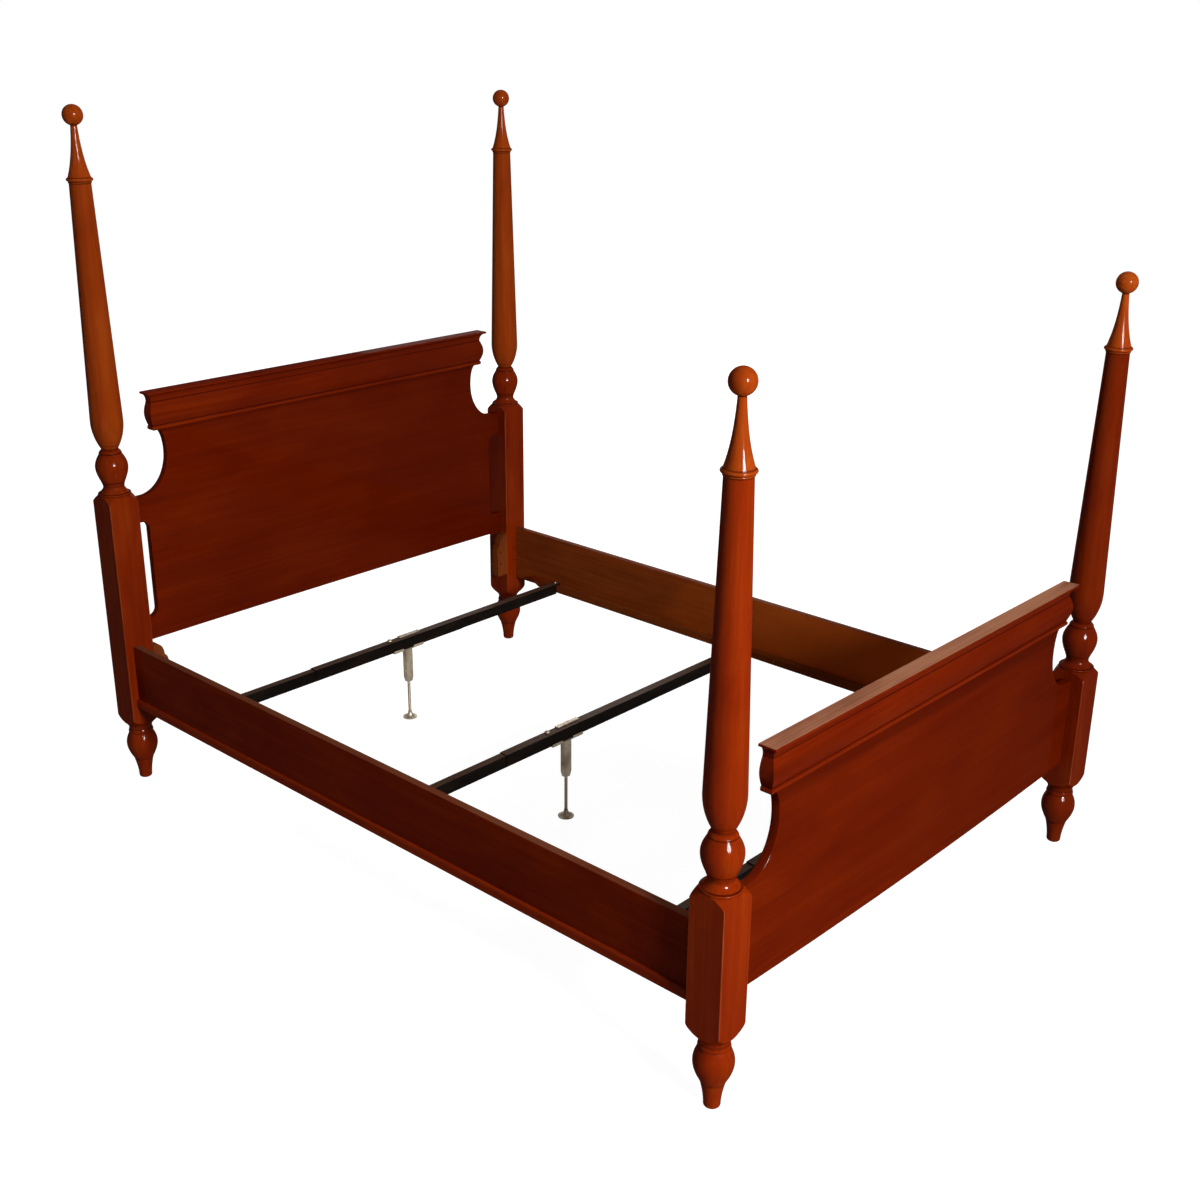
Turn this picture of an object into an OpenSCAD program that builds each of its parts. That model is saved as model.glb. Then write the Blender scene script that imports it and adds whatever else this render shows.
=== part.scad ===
// Four-poster bed with turned posts, scroll-cut boards, hooked side rails and three
// telescoping steel cross rails on adjustable centre legs.
// Millimetres. X is across the bed, -Y is the foot end, +Y the head end, the floor is z = 0.

/* [Overall size] */
// Distance between the centre lines of the left and right posts
post_span_x = 1540; // [1440:5:1640]
// Distance between the centre lines of the foot and head posts
post_span_y = 2190; // [2090:5:2290]
// Height of the upper corners of the head posts' square blocks
head_block_top = 871; // [820:1:920]
// Height of the upper corners of the foot posts' square blocks
foot_block_top = 510; // [480:1:560]

/* [Posts] */
// Side of the square block
block_side = 90; // [84:1:100]
// Largest radius of the block, which eases its four arrises
block_arris_r = 63; // [60:0.5:64]
// Height of the turned foot up to the neck under the block
foot_neck_z = 165; // [155:1:172]
// Radius of that neck
foot_neck_r = 33; // [30:0.5:38]
// Height over which the neck swells out into the block's lower corners
lower_shoulder = 46; // [40:1:56]
// Largest radius of the foot's bulb
bulb_r = 45; // [42:0.2:47]
// Height of the bulb's widest ring
bulb_z = 116; // [110:1:122]
// Radius of the foot's sole
sole_r = 18.8; // [15:0.2:20]
// Rounding round the sole
sole_round = 7; // [4:0.5:9]
// Height of the scribed line between the foot's taper and its bulb
taper_line_z = 64; // [58:1:70]
// Radius at that line
taper_line_r = 27.8; // [25:0.2:30]
// Height of the deep line between the foot's bulb and the cushion above it
foot_line_z = 153; // [148:1:156]
// Radius of the cushion between that line and the neck
foot_cushion_r = 36; // [34:0.5:38]
// Depth of the scribed lines on the turnings
scribe = 1.4; // [0.4:0.1:2.0]
// Height from the block's corners up to the ring above them
upper_shoulder = 21; // [16:1:24]
// Radius of that ring
ring_r = 45.6; // [44:0.2:48]
// Height of the ring's half-round edge
ring_h = 5; // [3:0.5:6]
// Height of the hollow flare between the ring and the waist under the urn
dome_h = 16; // [14:1:22]
// Height from the flare's top to the scribed line at the urn's lower end
waist_h = 14; // [11:1:18]
// Radius of the waist
waist_r = 29.2; // [27:0.2:31]
// Radius at the urn's lower line
urn_low_r = 32.4; // [30:0.2:35]
// Height from the urn's lower line to its widest ring
urn_swell_h = 45; // [40:1:50]
// Largest radius of the urn
urn_r = 45; // [42:0.2:47]
// Height from the urn's widest ring to the neck under the shaft
urn_top_h = 51; // [46:1:60]
// Radius of the neck between the urn and the shaft
shaft_neck_r = 22.6; // [20:0.2:26]
// Height of the rounded foot of the tapered shaft
shaft_foot_h = 80; // [70:1:95]
// Largest radius of the shaft
shaft_r = 44.8; // [42:0.2:48]
// Length of the whole shaft up to the collar
shaft_len = 717; // [680:1:750]
// Radius of the shaft just under the collar
shaft_top_r = 28.6; // [26:0.2:31]
// Largest radius of the rounded bead on the finial's collar
collar_r = 34.9; // [32:0.1:37]
// Height of the finial's spire from the collar to the ball
spire_h = 137.5; // [120:0.5:150]
// Radius of the ball
ball_r = 27; // [24:0.5:30]

/* [Headboard and footboard] */
// Thickness of the two panels
panel_t = 22; // [18:1:26]
// Height of the headboard panel's lower edge at the posts
head_panel_low = 430; // [420:1:450]
// How far that edge rises towards the bed's middle
head_edge_rise = 3; // [0:1:6]
// Height of the footboard panel's lower edge at the posts
foot_panel_low = 260; // [255:1:280]
// How far that edge sinks towards the bed's middle
foot_edge_sag = 13; // [0:1:18]
// Height of the top of the cap above the block's corners
crown_rise = 293; // [285:1:310]
// How far the crown's body stops short of the post
crown_inset = 93; // [85:1:105]
// Width of the level ear where the panel meets the post
ear_w = 35; // [25:1:42]
// Width of the scroll cut from the ear's end to its deepest point
scroll_w = 93; // [85:1:100]
// Height of the scroll cut's lower, larger curve
scroll_h = 117; // [105:1:122]
// How far the scroll cut's upper curve comes back towards the post
scroll_back = 23; // [15:1:28]
// Width of the slot between the headboard panel and each head post
slot_w = 48; // [40:1:56]
// Height of the slot's lower end above the panel's lower edge
slot_low = 70; // [55:1:80]
// Height of the slot
slot_h = 292; // [250:1:300]
// How far the tenons reach into the posts
tenon_len = 25; // [20:1:28]
// Thickness of the tenons
tenon_t = 12; // [9:1:14]

/* [Crown mouldings] */
// Thickness of the cap, cove included
cap_h = 31; // [27:1:36]
// How far the cap stands out from the panel
cap_out = 22; // [19:1:26]
// Height of the cap's upright lip
lip_h = 6; // [5:0.5:8]
// Height of the bulged frieze moulding under the cap
frieze_h = 68; // [62:1:74]
// How far the frieze stands out at its edges
frieze_out = 5; // [4:0.5:7]
// How far its middle bulges beyond its edges
frieze_bulge = 9; // [6:0.5:11]
// Height of the bead under the frieze
bead_h = 14; // [11:0.5:16]
// How far the bead stands out
bead_out = 8; // [6:0.5:10]

/* [Side rails] */
// Height of the rails' upper edge
rail_top = 441; // [425:1:455]
// Depth of the rails
rail_h = 191; // [175:1:200]
// Thickness of the rails
rail_t = 22; // [20:1:26]
// Distance from the posts' outer faces to the rails' outer faces
rail_set_in = 24; // [18:1:30]
// Height of the moulding along the rails' lower edge
rail_mould_h = 25; // [20:1:30]
// How far that moulding stands out
rail_mould_out = 8; // [5:0.5:11]
// Width of the ledger strip inside each rail
ledger_w = 20; // [18:1:24]
// Height of the ledger strip
ledger_h = 25; // [22:1:30]
// Height of the ledger above the rail's lower edge
ledger_lift = 3; // [2:1:8]
// Distance from the post to the ledger's end
ledger_end_gap = 85; // [60:5:110]
// Length of the sloping cut on the ledger's ends
ledger_bevel = 48; // [30:2:60]

/* [Frame blocks on the head posts] */
// Width of the scalloped block inside each head post
frame_block_w = 46; // [40:1:52]
// Thickness of the block
frame_block_t = 30; // [24:1:34]
// Height of the block
frame_block_h = 152; // [140:1:160]
// Height of the block's lower end
frame_block_z = 275; // [265:1:285]
// Distance from the post's inner face to the block's bolt holes
frame_hole_in = 32; // [28:0.5:34]
// Distance from the post's inner face to the bolt holes through the post itself
post_hole_in = 35; // [33:0.5:38]
// Radius of the bolt holes
frame_hole_r = 4; // [3:0.25:4.5]
// Spacing of the bolt holes
frame_hole_pitch = 44; // [40:1:46]

/* [Rail hooks] */
// Thickness of the steel hook plates
hook_t = 3; // [2.5:0.5:4]
// Height of the hook plates
hook_plate_h = 116; // [100:2:130]
// Depth of the hook plates inside the rails
hook_plate_w = 55; // [45:1:70]
// How far the hooks reach into the posts
hook_reach = 17; // [15:0.5:20]
// Radius of the cross pins that the hooks hang on
hook_pin_r = 3; // [2.5:0.25:3.5]
// Vertical spacing of the two hooks on a plate
hook_pitch = 76; // [66:1:84]

/* [Cross rails and centre legs] */
// Distance between neighbouring cross rails
cross_pitch = 838; // [780:2:860]
// Width of the outer angle's top flange
angle_w = 27; // [25:1:32]
// Height of the angles' upright flanges
angle_h = 35; // [30:1:40]
// Thickness of the angles
angle_t = 3; // [2.5:0.5:3.5]
// Length by which the two angles of a cross rail overlap
angle_lap = 610; // [500:10:700]
// How far the middle of the overlap lies to the left of the bed's middle
lap_shift = 9; // [0:1:20]
// Sheet thickness of the leg bracket and the leg channel
sheet_t = 2.5; // [2:0.25:3]
// Width of the leg channel
leg_w = 26; // [24:1:30]
// Depth of the leg channel
leg_d = 18; // [17:0.5:20]
// Height of the channel's lower end above the floor
leg_low = 130; // [120:1:136]
// Length of the channel's narrowed lower end
leg_taper = 16; // [10:1:20]
// Height of the middle of the threaded block in the channel
leg_block_z = 170; // [162:1:176]
// Radius of the threaded stem
stem_r = 4.9; // [4.4:0.1:5.1]
// Height of the stem's upper end
stem_top = 194; // [190:1:200]
// Radius of the glide disc
glide_r = 23.5; // [20:0.5:28]
// Height of the glide's boss
glide_h = 22; // [18:1:26]
// Place of the head and foot legs to the right of the bed's middle
leg_x_outer = 58; // [30:2:90]
// Place of the middle leg to the left of the bed's middle
leg_x_middle = 75; // [40:1:90]

/* [Fits] */
// Clearance round pins, screws and tenons in the wood
wood_gap = 0.1; // [0.05:0.05:0.2]
// Running clearance of the stems in their nuts and glides
run_gap = 0.1; // [0.05:0.05:0.2]

/* [Hidden] */
$fn = 96;
wood = "sienna";
pale_wood = "peru";
black_steel = "#1c1a19";
bare_steel = "#a89a86";
far = 4000;

// Places worked out from the sizes above
half_x = post_span_x / 2;
half_y = post_span_y / 2;
post_in_x = half_x - block_side / 2;
post_in_y = half_y - block_side / 2;
rail_out = half_x + block_side / 2 - rail_set_in;
rail_mid = rail_out - rail_t / 2;
rail_in = rail_out - rail_t;
rail_low = rail_top - rail_h;
ledger_low = rail_low + ledger_lift;
ledger_top = ledger_low + ledger_h;
ledger_in = rail_in - ledger_w;
crown_x = post_in_x - crown_inset;
ledger_half = post_in_y - ledger_end_gap;

// Heights of the turnings above a block's corners
ring_z = upper_shoulder;
dome_z = ring_z + ring_h;
waist_z = dome_z + dome_h;
urn_low_z = waist_z + waist_h;
urn_mid_z = urn_low_z + urn_swell_h;
shaft_z = urn_mid_z + urn_top_h;
collar_z = shaft_z + shaft_len;

// Steel stud between a lower post and its shaft, and the finial's tenon
stud_r = 6;
stud_half = 55;
stud_end_gap = 1;
tenon_r = 9.5;
tenon_h = 40;

// Cross rail places
angle_z = ledger_top;
angle_front = -angle_w / 2;
angle_back = angle_w / 2;
angle_end_gap = 2;
cross_ys = [cross_pitch, 0, -cross_pitch];
leg_xs = [leg_x_outer, -leg_x_middle, leg_x_outer];
inner_top = angle_z + angle_t;
outer_top = inner_top + angle_t;
inner_low = inner_top - angle_h;
outer_low = outer_top - angle_h;
cross_screw_x = rail_in - ledger_w / 2;
cross_screw_y = 3;

// Leg places, measured from the middle of its cross rail
leg_front = angle_front - sheet_t;
leg_roof = inner_low - sheet_t;
stem_y = leg_front + leg_d / 2;
leg_block_h = 12;
leg_block_side = 1.5;
stem_foot_z = 8;
stem_tip_r = 4.3;
clamp_x = -62;
clamp_y = 6;

// Arc points round (x, y) from angle a0 to a1, with radii rx and ry
function arc(x, y, rx, ry, a0, a1, n) =
    [for (i = [0:n]) let(a = a0 + (a1 - a0) * i / n) [x + rx * cos(a), y + ry * sin(a)]];

// Turned foot from the sole up to the neck and out to the block, as [radius, height]
function foot_points() = concat(
    [[0, 0]],
    arc(sole_r - sole_round, sole_round, sole_round, sole_round, -90, 0, 5),
    [for (i = [1:8]) let(t = i / 8)
        [sole_r + (taper_line_r - sole_r) * pow(t, 1.7), sole_round + (taper_line_z - sole_round) * t]],
    [[taper_line_r - 0.8 * scribe, taper_line_z + 1], [taper_line_r + 0.4, taper_line_z + line_w]],
    [for (i = [1:10]) let(t = i / 10)
        [taper_line_r + 0.4 + (bulb_r - taper_line_r - 0.4) * sin(90 * t),
         taper_line_z + line_w + (bulb_z - taper_line_z - line_w) * t]],
    [for (i = [1:7]) bulb_top_point(bulb_z + (foot_line_z - bulb_z) * i / 7)],
    [for (i = [0:5]) let(t = i / 5)
        [foot_neck_r + (foot_cushion_r - foot_neck_r) * (1 - pow(t, 1.5)),
         foot_line_z + line_w + (foot_neck_z - foot_line_z - line_w) * t]],
    [for (i = [1:10]) let(t = i / 10)
        [foot_neck_r + (block_arris_r - foot_neck_r) * (1 - cos(180 * pow(t, 1.2))) / 2,
         foot_neck_z + lower_shoulder * t]]
);
// Width of the foot's scribed lines
line_w = 2;
// The bulb narrows towards a radius well inside the neck and is stopped by the deep line
bulb_aim_r = foot_neck_r - 7;
function bulb_top_point(z) =
    [bulb_aim_r + (bulb_r - bulb_aim_r) * cos(90 * (z - bulb_z) / (foot_neck_z - bulb_z)), z];

// Shoulder, ring, flare, waist and urn above a block whose corners are at height z
ring_core_r = ring_r - 2.4;
urn_aim_r = 24.5;
urn_aim_h = 47;
urn_line_h = 38.5;
function urn_points(z) = concat(
    [for (i = [0:6]) let(t = i / 6)
        [block_arris_r - (block_arris_r - ring_core_r - 0.8) * pow(t, 1.3), z + (ring_z - 0.4) * t]],
    arc(ring_core_r, z + ring_z + ring_h / 2, 2.4, ring_h / 2, -90, 90, 6),
    [for (i = [0:7]) let(t = i / 7)
        [waist_r + (ring_core_r - 1.8 * scribe - waist_r) * pow(1 - t, 1.5), z + dome_z + 0.6 + (dome_h - 0.6) * t]],
    [for (i = [1:5]) let(t = i / 5)
        [waist_r + (urn_low_r - waist_r) * pow(t, 2.4), z + waist_z + waist_h * t]],
    [[urn_low_r - 1.1 * scribe, z + urn_low_z + 0.9]],
    [for (i = [0:10]) let(t = i / 10)
        [urn_low_r + 0.3 + (urn_r - urn_low_r - 0.3) * sin(90 * t),
         z + urn_low_z + 1.8 + (urn_swell_h - 1.8) * t]],
    [for (i = [1:8]) urn_top_point(z, (urn_line_h - 0.7) * i / 8)],
    [urn_top_point(z, urn_line_h + 0.2) - [1.5 * scribe, 0]],
    [urn_top_point(z, urn_line_h + 0.9) - [1.5 * scribe, 0]],
    [for (i = [0:6]) let(t = i / 6)
        [shaft_neck_r + (urn_cushion_r - shaft_neck_r) * (1 - pow(t, 1.4)),
         z + urn_mid_z + urn_line_h + 1.6 + (urn_top_h - urn_line_h - 1.6) * t]],
    [[0, z + shaft_z]]
);
urn_cushion_r = 31.4;
function urn_top_point(z, h) =
    [urn_aim_r + (urn_r - urn_aim_r) * cos(90 * h / urn_aim_h), z + urn_mid_z + h];

// Tapered shaft from its neck to the collar, starting at height z
shaft_swell = shaft_r - shaft_neck_r;
shaft_arc_r = (shaft_foot_h * shaft_foot_h + shaft_swell * shaft_swell) / (2 * shaft_swell);
shaft_arc_a = asin(shaft_foot_h / shaft_arc_r);
function shaft_points(z) = concat(
    [[0, z]],
    arc(shaft_r - shaft_arc_r, z + shaft_foot_h, shaft_arc_r, shaft_arc_r, -shaft_arc_a, 0, 12),
    [[shaft_top_r, z + shaft_len], [0, z + shaft_len]]
);

// Finial: thin ring, rounded bead, spire that narrows in a long hollow curve, and ball
collar_ring_r = shaft_top_r + 2;
collar_ring_h = 4.4;
bead_low = 4.8;
collar_bead_h = 9.6;
collar_core_r = 29.4;
spire_foot_r = 32.5;
spire_thin = 4;
spire_fall = 75.6;
spire_from = 6.4;
function finial_points(z) = concat(
    [[0, z]],
    arc(collar_ring_r - 1.6, z + collar_ring_h / 2, 1.6, collar_ring_h / 2, -90, 90, 4),
    arc(collar_core_r, z + bead_low + collar_bead_h / 2, collar_r - collar_core_r, collar_bead_h / 2, -90, 80, 8),
    [for (i = [0:14]) let(h = spire_from + (spire_h - 1 - spire_from) * i / 14)
        [spire_thin + (spire_foot_r - spire_thin) * exp(-h / spire_fall), z + 8 + h]],
    ball_points(z + 8 + spire_h + ball_r - 2)
);
ball_neck_a = -71;
function ball_points(zc) = concat(arc(0, zc, ball_r, ball_r, ball_neck_a, 90, 20));

// Shapes drawn in X and Z and run along Y, or drawn in Y and Z and run along X
module run_y(length) {
    rotate([90, 0, 0]) linear_extrude(length, center = true) children();
}
module run_x(length) {
    rotate([90, 0, 90]) linear_extrude(length, center = true) children();
}
module box_between(low, high) {
    translate(low) cube(high - low);
}
// The four posts are one design, mirrored to the corner that sx and sy name
module at_corner(sx, sy) {
    mirror([sx < 0 ? 1 : 0, 0, 0]) mirror([0, sy < 0 ? 1 : 0, 0]) translate([half_x, half_y, 0]) children();
}

// Lower post, drawn for the corner at +X and +Y, so its inner faces look to -X and -Y
module lower_post(block_top, tenon_spans) {
    color(wood) difference() {
        intersection() {
            translate([-block_side / 2, -block_side / 2, 0]) cube([block_side, block_side, far]);
            rotate_extrude() polygon(concat(foot_points(), urn_points(block_top)));
        }
        for (span = tenon_spans)
            box_between([-block_side / 2 - 1, -tenon_t / 2 - wood_gap, span[0] - wood_gap],
                [-block_side / 2 + tenon_len + 1, tenon_t / 2 + wood_gap, span[1] + wood_gap]);
        hook_kerf();
        for (z = hook_zs) hook_pin_bore(z);
        translate([0, 0, block_top + shaft_z - stud_half - stud_end_gap])
            cylinder(r = stud_r + wood_gap, h = stud_half + stud_end_gap + 1);
    }
}
// Heights of the hooks' cross pins, with their place behind the post's inner face
hook_mid_z = rail_low + rail_h / 2 + 4;
hook_zs = [hook_mid_z - hook_pitch / 2, hook_mid_z + hook_pitch / 2];
hook_pin_back = 10;
hook_pin_len = 70;
hook_kerf_gap = 1;
module hook_kerf() {
    kerf_half = hook_t / 2 + hook_kerf_gap;
    translate([rail_mid - half_x, 0, 0])
        box_between([-kerf_half, -block_side / 2 - 1, hook_mid_z - hook_plate_h / 2 - 2],
            [kerf_half, -block_side / 2 + hook_reach + 2, hook_mid_z + hook_plate_h / 2 + 4]);
}
module hook_pin_bore(z) {
    translate([-block_side / 2 - 1, -block_side / 2 + hook_pin_back, z]) rotate([0, 90, 0])
        cylinder(r = hook_pin_r + wood_gap, h = hook_pin_len + 1, $fn = 48);
}

// Heights of the tenons, kept inside the panel's ears
ear_drop = 3;
tenon_edge = 10;
head_slot_low = head_panel_low + slot_low;
head_slot_top = head_slot_low + slot_h;
head_tenons = [
    [head_panel_low + tenon_edge, head_slot_low - tenon_edge],
    [head_slot_top + tenon_edge, head_block_top - ear_drop - tenon_edge]
];
foot_tenons = [[foot_panel_low + tenon_edge, foot_block_top - ear_drop - tenon_edge]];

module head_post(sx) {
    difference() {
        at_corner(sx, 1) lower_post(head_block_top, head_tenons);
        for (z = dowel_zs) dowel_bore(sx, z);
        frame_bores(sx, half_x - block_side / 2 + post_hole_in, block_side);
    }
}
// Two bolt holes one above the other, through whatever stands behind the posts' front faces
module frame_bores(sx, x, depth) {
    for (z = [-frame_hole_pitch / 2, frame_hole_pitch / 2])
        translate([sx * x, post_in_y - 1, frame_hole_z + z]) rotate([-90, 0, 0])
            cylinder(r = frame_hole_r, h = depth + 2, $fn = 48);
}
module foot_post(sx) {
    at_corner(sx, -1) lower_post(foot_block_top, foot_tenons);
}
module head_post_left() { head_post(-1); }
module head_post_right() { head_post(1); }
module foot_post_left() { foot_post(-1); }
module foot_post_right() { foot_post(1); }

// Tapered shaft with a bore for the stud below and one for the finial's tenon above
module shaft(sx, sy, block_top) {
    z = block_top + shaft_z;
    color(wood) at_corner(sx, sy) difference() {
        rotate_extrude() polygon(shaft_points(z));
        translate([0, 0, z - 1]) cylinder(r = stud_r + wood_gap, h = stud_half + stud_end_gap + 1);
        translate([0, 0, z + shaft_len - tenon_h - 1]) cylinder(r = tenon_r + wood_gap, h = tenon_h + 2);
    }
}
module head_shaft_left() { shaft(-1, 1, head_block_top); }
module head_shaft_right() { shaft(1, 1, head_block_top); }
module foot_shaft_left() { shaft(-1, -1, foot_block_top); }
module foot_shaft_right() { shaft(1, -1, foot_block_top); }

module finial(sx, sy, block_top) {
    z = block_top + collar_z;
    color(wood) at_corner(sx, sy) union() {
        rotate_extrude() polygon(finial_points(z));
        translate([0, 0, z - tenon_h]) cylinder(r = tenon_r, h = tenon_h + 4);
    }
}
module head_finial_left() { finial(-1, 1, head_block_top); }
module head_finial_right() { finial(1, 1, head_block_top); }
module foot_finial_left() { finial(-1, -1, foot_block_top); }
module foot_finial_right() { finial(1, -1, foot_block_top); }

module post_studs() {
    color(bare_steel) for (sx = [-1, 1]) {
        stud(sx, 1, head_block_top);
        stud(sx, -1, foot_block_top);
    }
}
module stud(sx, sy, block_top) {
    at_corner(sx, sy) translate([0, 0, block_top + shaft_z - stud_half])
        cylinder(r = stud_r, h = 2 * stud_half);
}

// Right half of a board's outline from the middle of its lower edge, which bows by sag,
// round the scroll cut, to its top
function board_half(low, block_top, sag) = let(
        ear_z = block_top - ear_drop,
        scroll_z = ear_z + scroll_h,
        bead_z = block_top + crown_rise - cap_h - frieze_h - bead_h,
        deep_x = post_in_x - ear_w - scroll_w
    ) concat(
    [for (i = [0:8]) let(t = i / 8) [post_in_x * t, low - sag * (1 - t * t)]],
    [[post_in_x, ear_z]],
    arc(post_in_x - ear_w, scroll_z, scroll_w, scroll_h, -90, -180, 16),
    arc(deep_x + scroll_back, scroll_z, scroll_back, bead_z - scroll_z, 180, 90, 8),
    [[crown_x, bead_z], [crown_x, block_top + crown_rise - cap_h]]
);
function mirrored(points) = [for (i = [len(points) - 1:-1:1]) [-points[i][0], points[i][1]]];

module panel(y, low, block_top, tenon_spans, sag) {
    half = board_half(low, block_top, sag);
    translate([0, y, 0]) {
        run_y(panel_t) polygon(concat(half, mirrored(half)));
        for (sx = [-1, 1], span = tenon_spans) mirror([sx < 0 ? 1 : 0, 0, 0])
            box_between([post_in_x - 5, -tenon_t / 2, span[0]], [post_in_x + tenon_len, tenon_t / 2, span[1]]);
    }
}
module headboard_panel() {
    color(wood) difference() {
        panel(half_y, head_panel_low, head_block_top, head_tenons, -head_edge_rise);
        for (sx = [-1, 1]) mirror([sx < 0 ? 1 : 0, 0, 0]) translate([0, half_y, 0]) slot_cut();
    }
}
// The slot is open to the post and has rounded corners on its inner side
slot_round = 24;
module slot_cut() {
    x = post_in_x - slot_w;
    run_y(panel_t + 2) {
        for (z = [head_slot_low + slot_round, head_slot_top - slot_round])
            translate([x + slot_round, z]) circle(slot_round);
        translate([x + slot_round, head_slot_low]) square([slot_w - slot_round + 0.01, slot_h]);
        translate([x, head_slot_low + slot_round]) square([slot_w, slot_h - 2 * slot_round]);
    }
}
module footboard_panel() {
    color(wood) panel(-half_y, foot_panel_low, foot_block_top, foot_tenons, foot_edge_sag);
}

// Crown mouldings: each outline gives how far the surface stands out at each height below
// the cap's top, and the same outline runs along the front and returns round both ends
function cap_outline() = concat(
    [[cap_out - 2, 0], [cap_out - 0.6, -0.6], [cap_out, -2], [cap_out, -lip_h]],
    arc(cap_out - 1, -cap_h + 2, cap_out - 1 - frieze_out, cap_h - 2 - lip_h, 90, 180, 8),
    [[frieze_out, -cap_h]]
);
function frieze_outline() = [for (i = [0:12])
    [frieze_out + frieze_bulge * sin(180 * i / 12), -cap_h - frieze_h * i / 12]];
function bead_outline() = let(z = -cap_h - frieze_h - bead_h / 2) concat(
    [[2, z + bead_h / 2]], arc(2, z, bead_out - 2, bead_h / 2, 80, -80, 8), [[2, z - bead_h / 2]]);

module returned(y, top, outline) {
    n = len(outline) - 1;
    intersection() {
        translate([0, y, top]) run_x(far) polygon(concat(
            [for (p = outline) [-panel_t / 2 - p[0], p[1]]],
            [[panel_t / 2, outline[n][1]], [panel_t / 2, outline[0][1]]]));
        translate([0, y, top]) run_y(far) polygon(concat(
            [for (p = outline) [crown_x + p[0], p[1]]],
            [for (i = [n:-1:0]) [-crown_x - outline[i][0], outline[i][1]]]));
    }
}
module crown_core(y, top, outline) {
    n = len(outline) - 1;
    translate([0, y, top]) box_between([-crown_x, -panel_t / 2, outline[n][1] - 1], [crown_x, far, 1]);
}
module cap(y, block_top) {
    color(wood) returned(y, block_top + crown_rise, cap_outline());
}
// Mitre cuts part the run along the front from the two short returns
mitre_gap = 0.1;
module planted(y, block_top, outline) {
    top = block_top + crown_rise;
    reach = 60;
    color(wood) difference() {
        returned(y, top, outline);
        crown_core(y, top, outline);
        for (sx = [-1, 1]) mirror([sx < 0 ? 1 : 0, 0, 0])
            translate([crown_x, y - panel_t / 2, top - cap_h - frieze_h - bead_h - 1]) rotate([0, 0, -45])
                translate([-1, -mitre_gap / 2, 0]) cube([reach, mitre_gap, frieze_h + bead_h + 2]);
    }
}
module headboard_cap() { cap(half_y, head_block_top); }
module footboard_cap() { cap(-half_y, foot_block_top); }
module headboard_frieze() { planted(half_y, head_block_top, frieze_outline()); }
module footboard_frieze() { planted(-half_y, foot_block_top, frieze_outline()); }
module headboard_bead() { planted(half_y, head_block_top, bead_outline()); }
module footboard_bead() { planted(-half_y, foot_block_top, bead_outline()); }

// Scalloped block that lets the headboard be bolted to a plain steel bed frame
frame_hole_x = post_in_x - frame_hole_in;
frame_hole_z = frame_block_z + 68;
dowel_r = 4;
dowel_half = 22;
dowel_zs = [frame_block_z + 24, frame_block_z + frame_block_h - 34];
dowel_y = post_in_y + frame_block_t / 2 + 5;
module frame_block(sx) {
    top = frame_block_z + frame_block_h;
    color(wood) difference() {
        mirror([sx < 0 ? 1 : 0, 0, 0]) translate([post_in_x, post_in_y + frame_block_t / 2, 0])
            run_y(frame_block_t) polygon(concat(
                [[0, frame_block_z], [-frame_block_w + 5, frame_block_z]],
                arc(-frame_block_w + 5, frame_block_z + 8, 5, 8, -90, -180, 3),
                arc(-frame_block_w + 11, top - 66, 11, 26, 180, 90, 7),
                arc(-6, top - 34, 28, 34, 175, 90, 8),
                [[0, top]]));
        frame_bores(sx, frame_hole_x, frame_block_t);
        for (z = dowel_zs) dowel_bore(sx, z);
    }
}
module dowel_bore(sx, z) {
    mirror([sx < 0 ? 1 : 0, 0, 0]) translate([post_in_x - dowel_half - 1, dowel_y, z]) rotate([0, 90, 0])
        cylinder(r = dowel_r + wood_gap, h = 2 * dowel_half + 2, $fn = 48);
}
module frame_block_left() { frame_block(-1); }
module frame_block_right() { frame_block(1); }
module frame_block_dowels() {
    color(pale_wood) for (sx = [-1, 1], z = dowel_zs) mirror([sx < 0 ? 1 : 0, 0, 0])
        translate([post_in_x - dowel_half, dowel_y, z]) rotate([0, 90, 0])
            cylinder(r = dowel_r, h = 2 * dowel_half, $fn = 48);
}

// Side rail with a kerf for a hook plate in each end, rivet bores and ledger screw holes
rivet_r = 2.5;
rivet_back = 34;
module side_rail(sx) {
    color(wood) mirror([sx < 0 ? 1 : 0, 0, 0]) difference() {
        box_between([rail_in, -post_in_y, rail_low], [rail_out, post_in_y, rail_top]);
        for (sy = [-1, 1]) mirror([0, sy < 0 ? 1 : 0, 0]) {
            box_between([rail_mid - hook_t / 2 - wood_gap, post_in_y - hook_plate_w - 1, hook_mid_z - hook_plate_h / 2 - 1],
                [rail_mid + hook_t / 2 + wood_gap, post_in_y + 1, hook_mid_z + hook_plate_h / 2 + 1]);
            for (z = hook_zs) rivet_shape(z, wood_gap);
        }
        for (y = ledger_screw_ys) ledger_screw(y, wood_gap);
    }
}
module rivet_shape(z, gap) {
    translate([rail_in, post_in_y - rivet_back, z]) rotate([0, 90, 0])
        cylinder(r = rivet_r + gap, h = rail_t - 5 + 5 * gap, $fn = 32);
}
module side_rail_left() { side_rail(-1); }
module side_rail_right() { side_rail(1); }
module hook_rivets() {
    color(bare_steel) for (sx = [-1, 1], sy = [-1, 1], z = hook_zs)
        mirror([sx < 0 ? 1 : 0, 0, 0]) mirror([0, sy < 0 ? 1 : 0, 0]) rivet_shape(z, 0);
}

module rail_moulding(sx) {
    round_h = rail_mould_h * 0.4;
    color(wood) mirror([sx < 0 ? 1 : 0, 0, 0]) translate([rail_out, 0, rail_low]) run_y(2 * post_in_y)
        polygon(concat([[0, 0], [rail_mould_out - 1, 0], [rail_mould_out, 1]],
            arc(2, rail_mould_h - round_h, rail_mould_out - 2, round_h, 0, 90, 6), [[0, rail_mould_h]]));
}
module rail_moulding_left() { rail_moulding(-1); }
module rail_moulding_right() { rail_moulding(1); }

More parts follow.
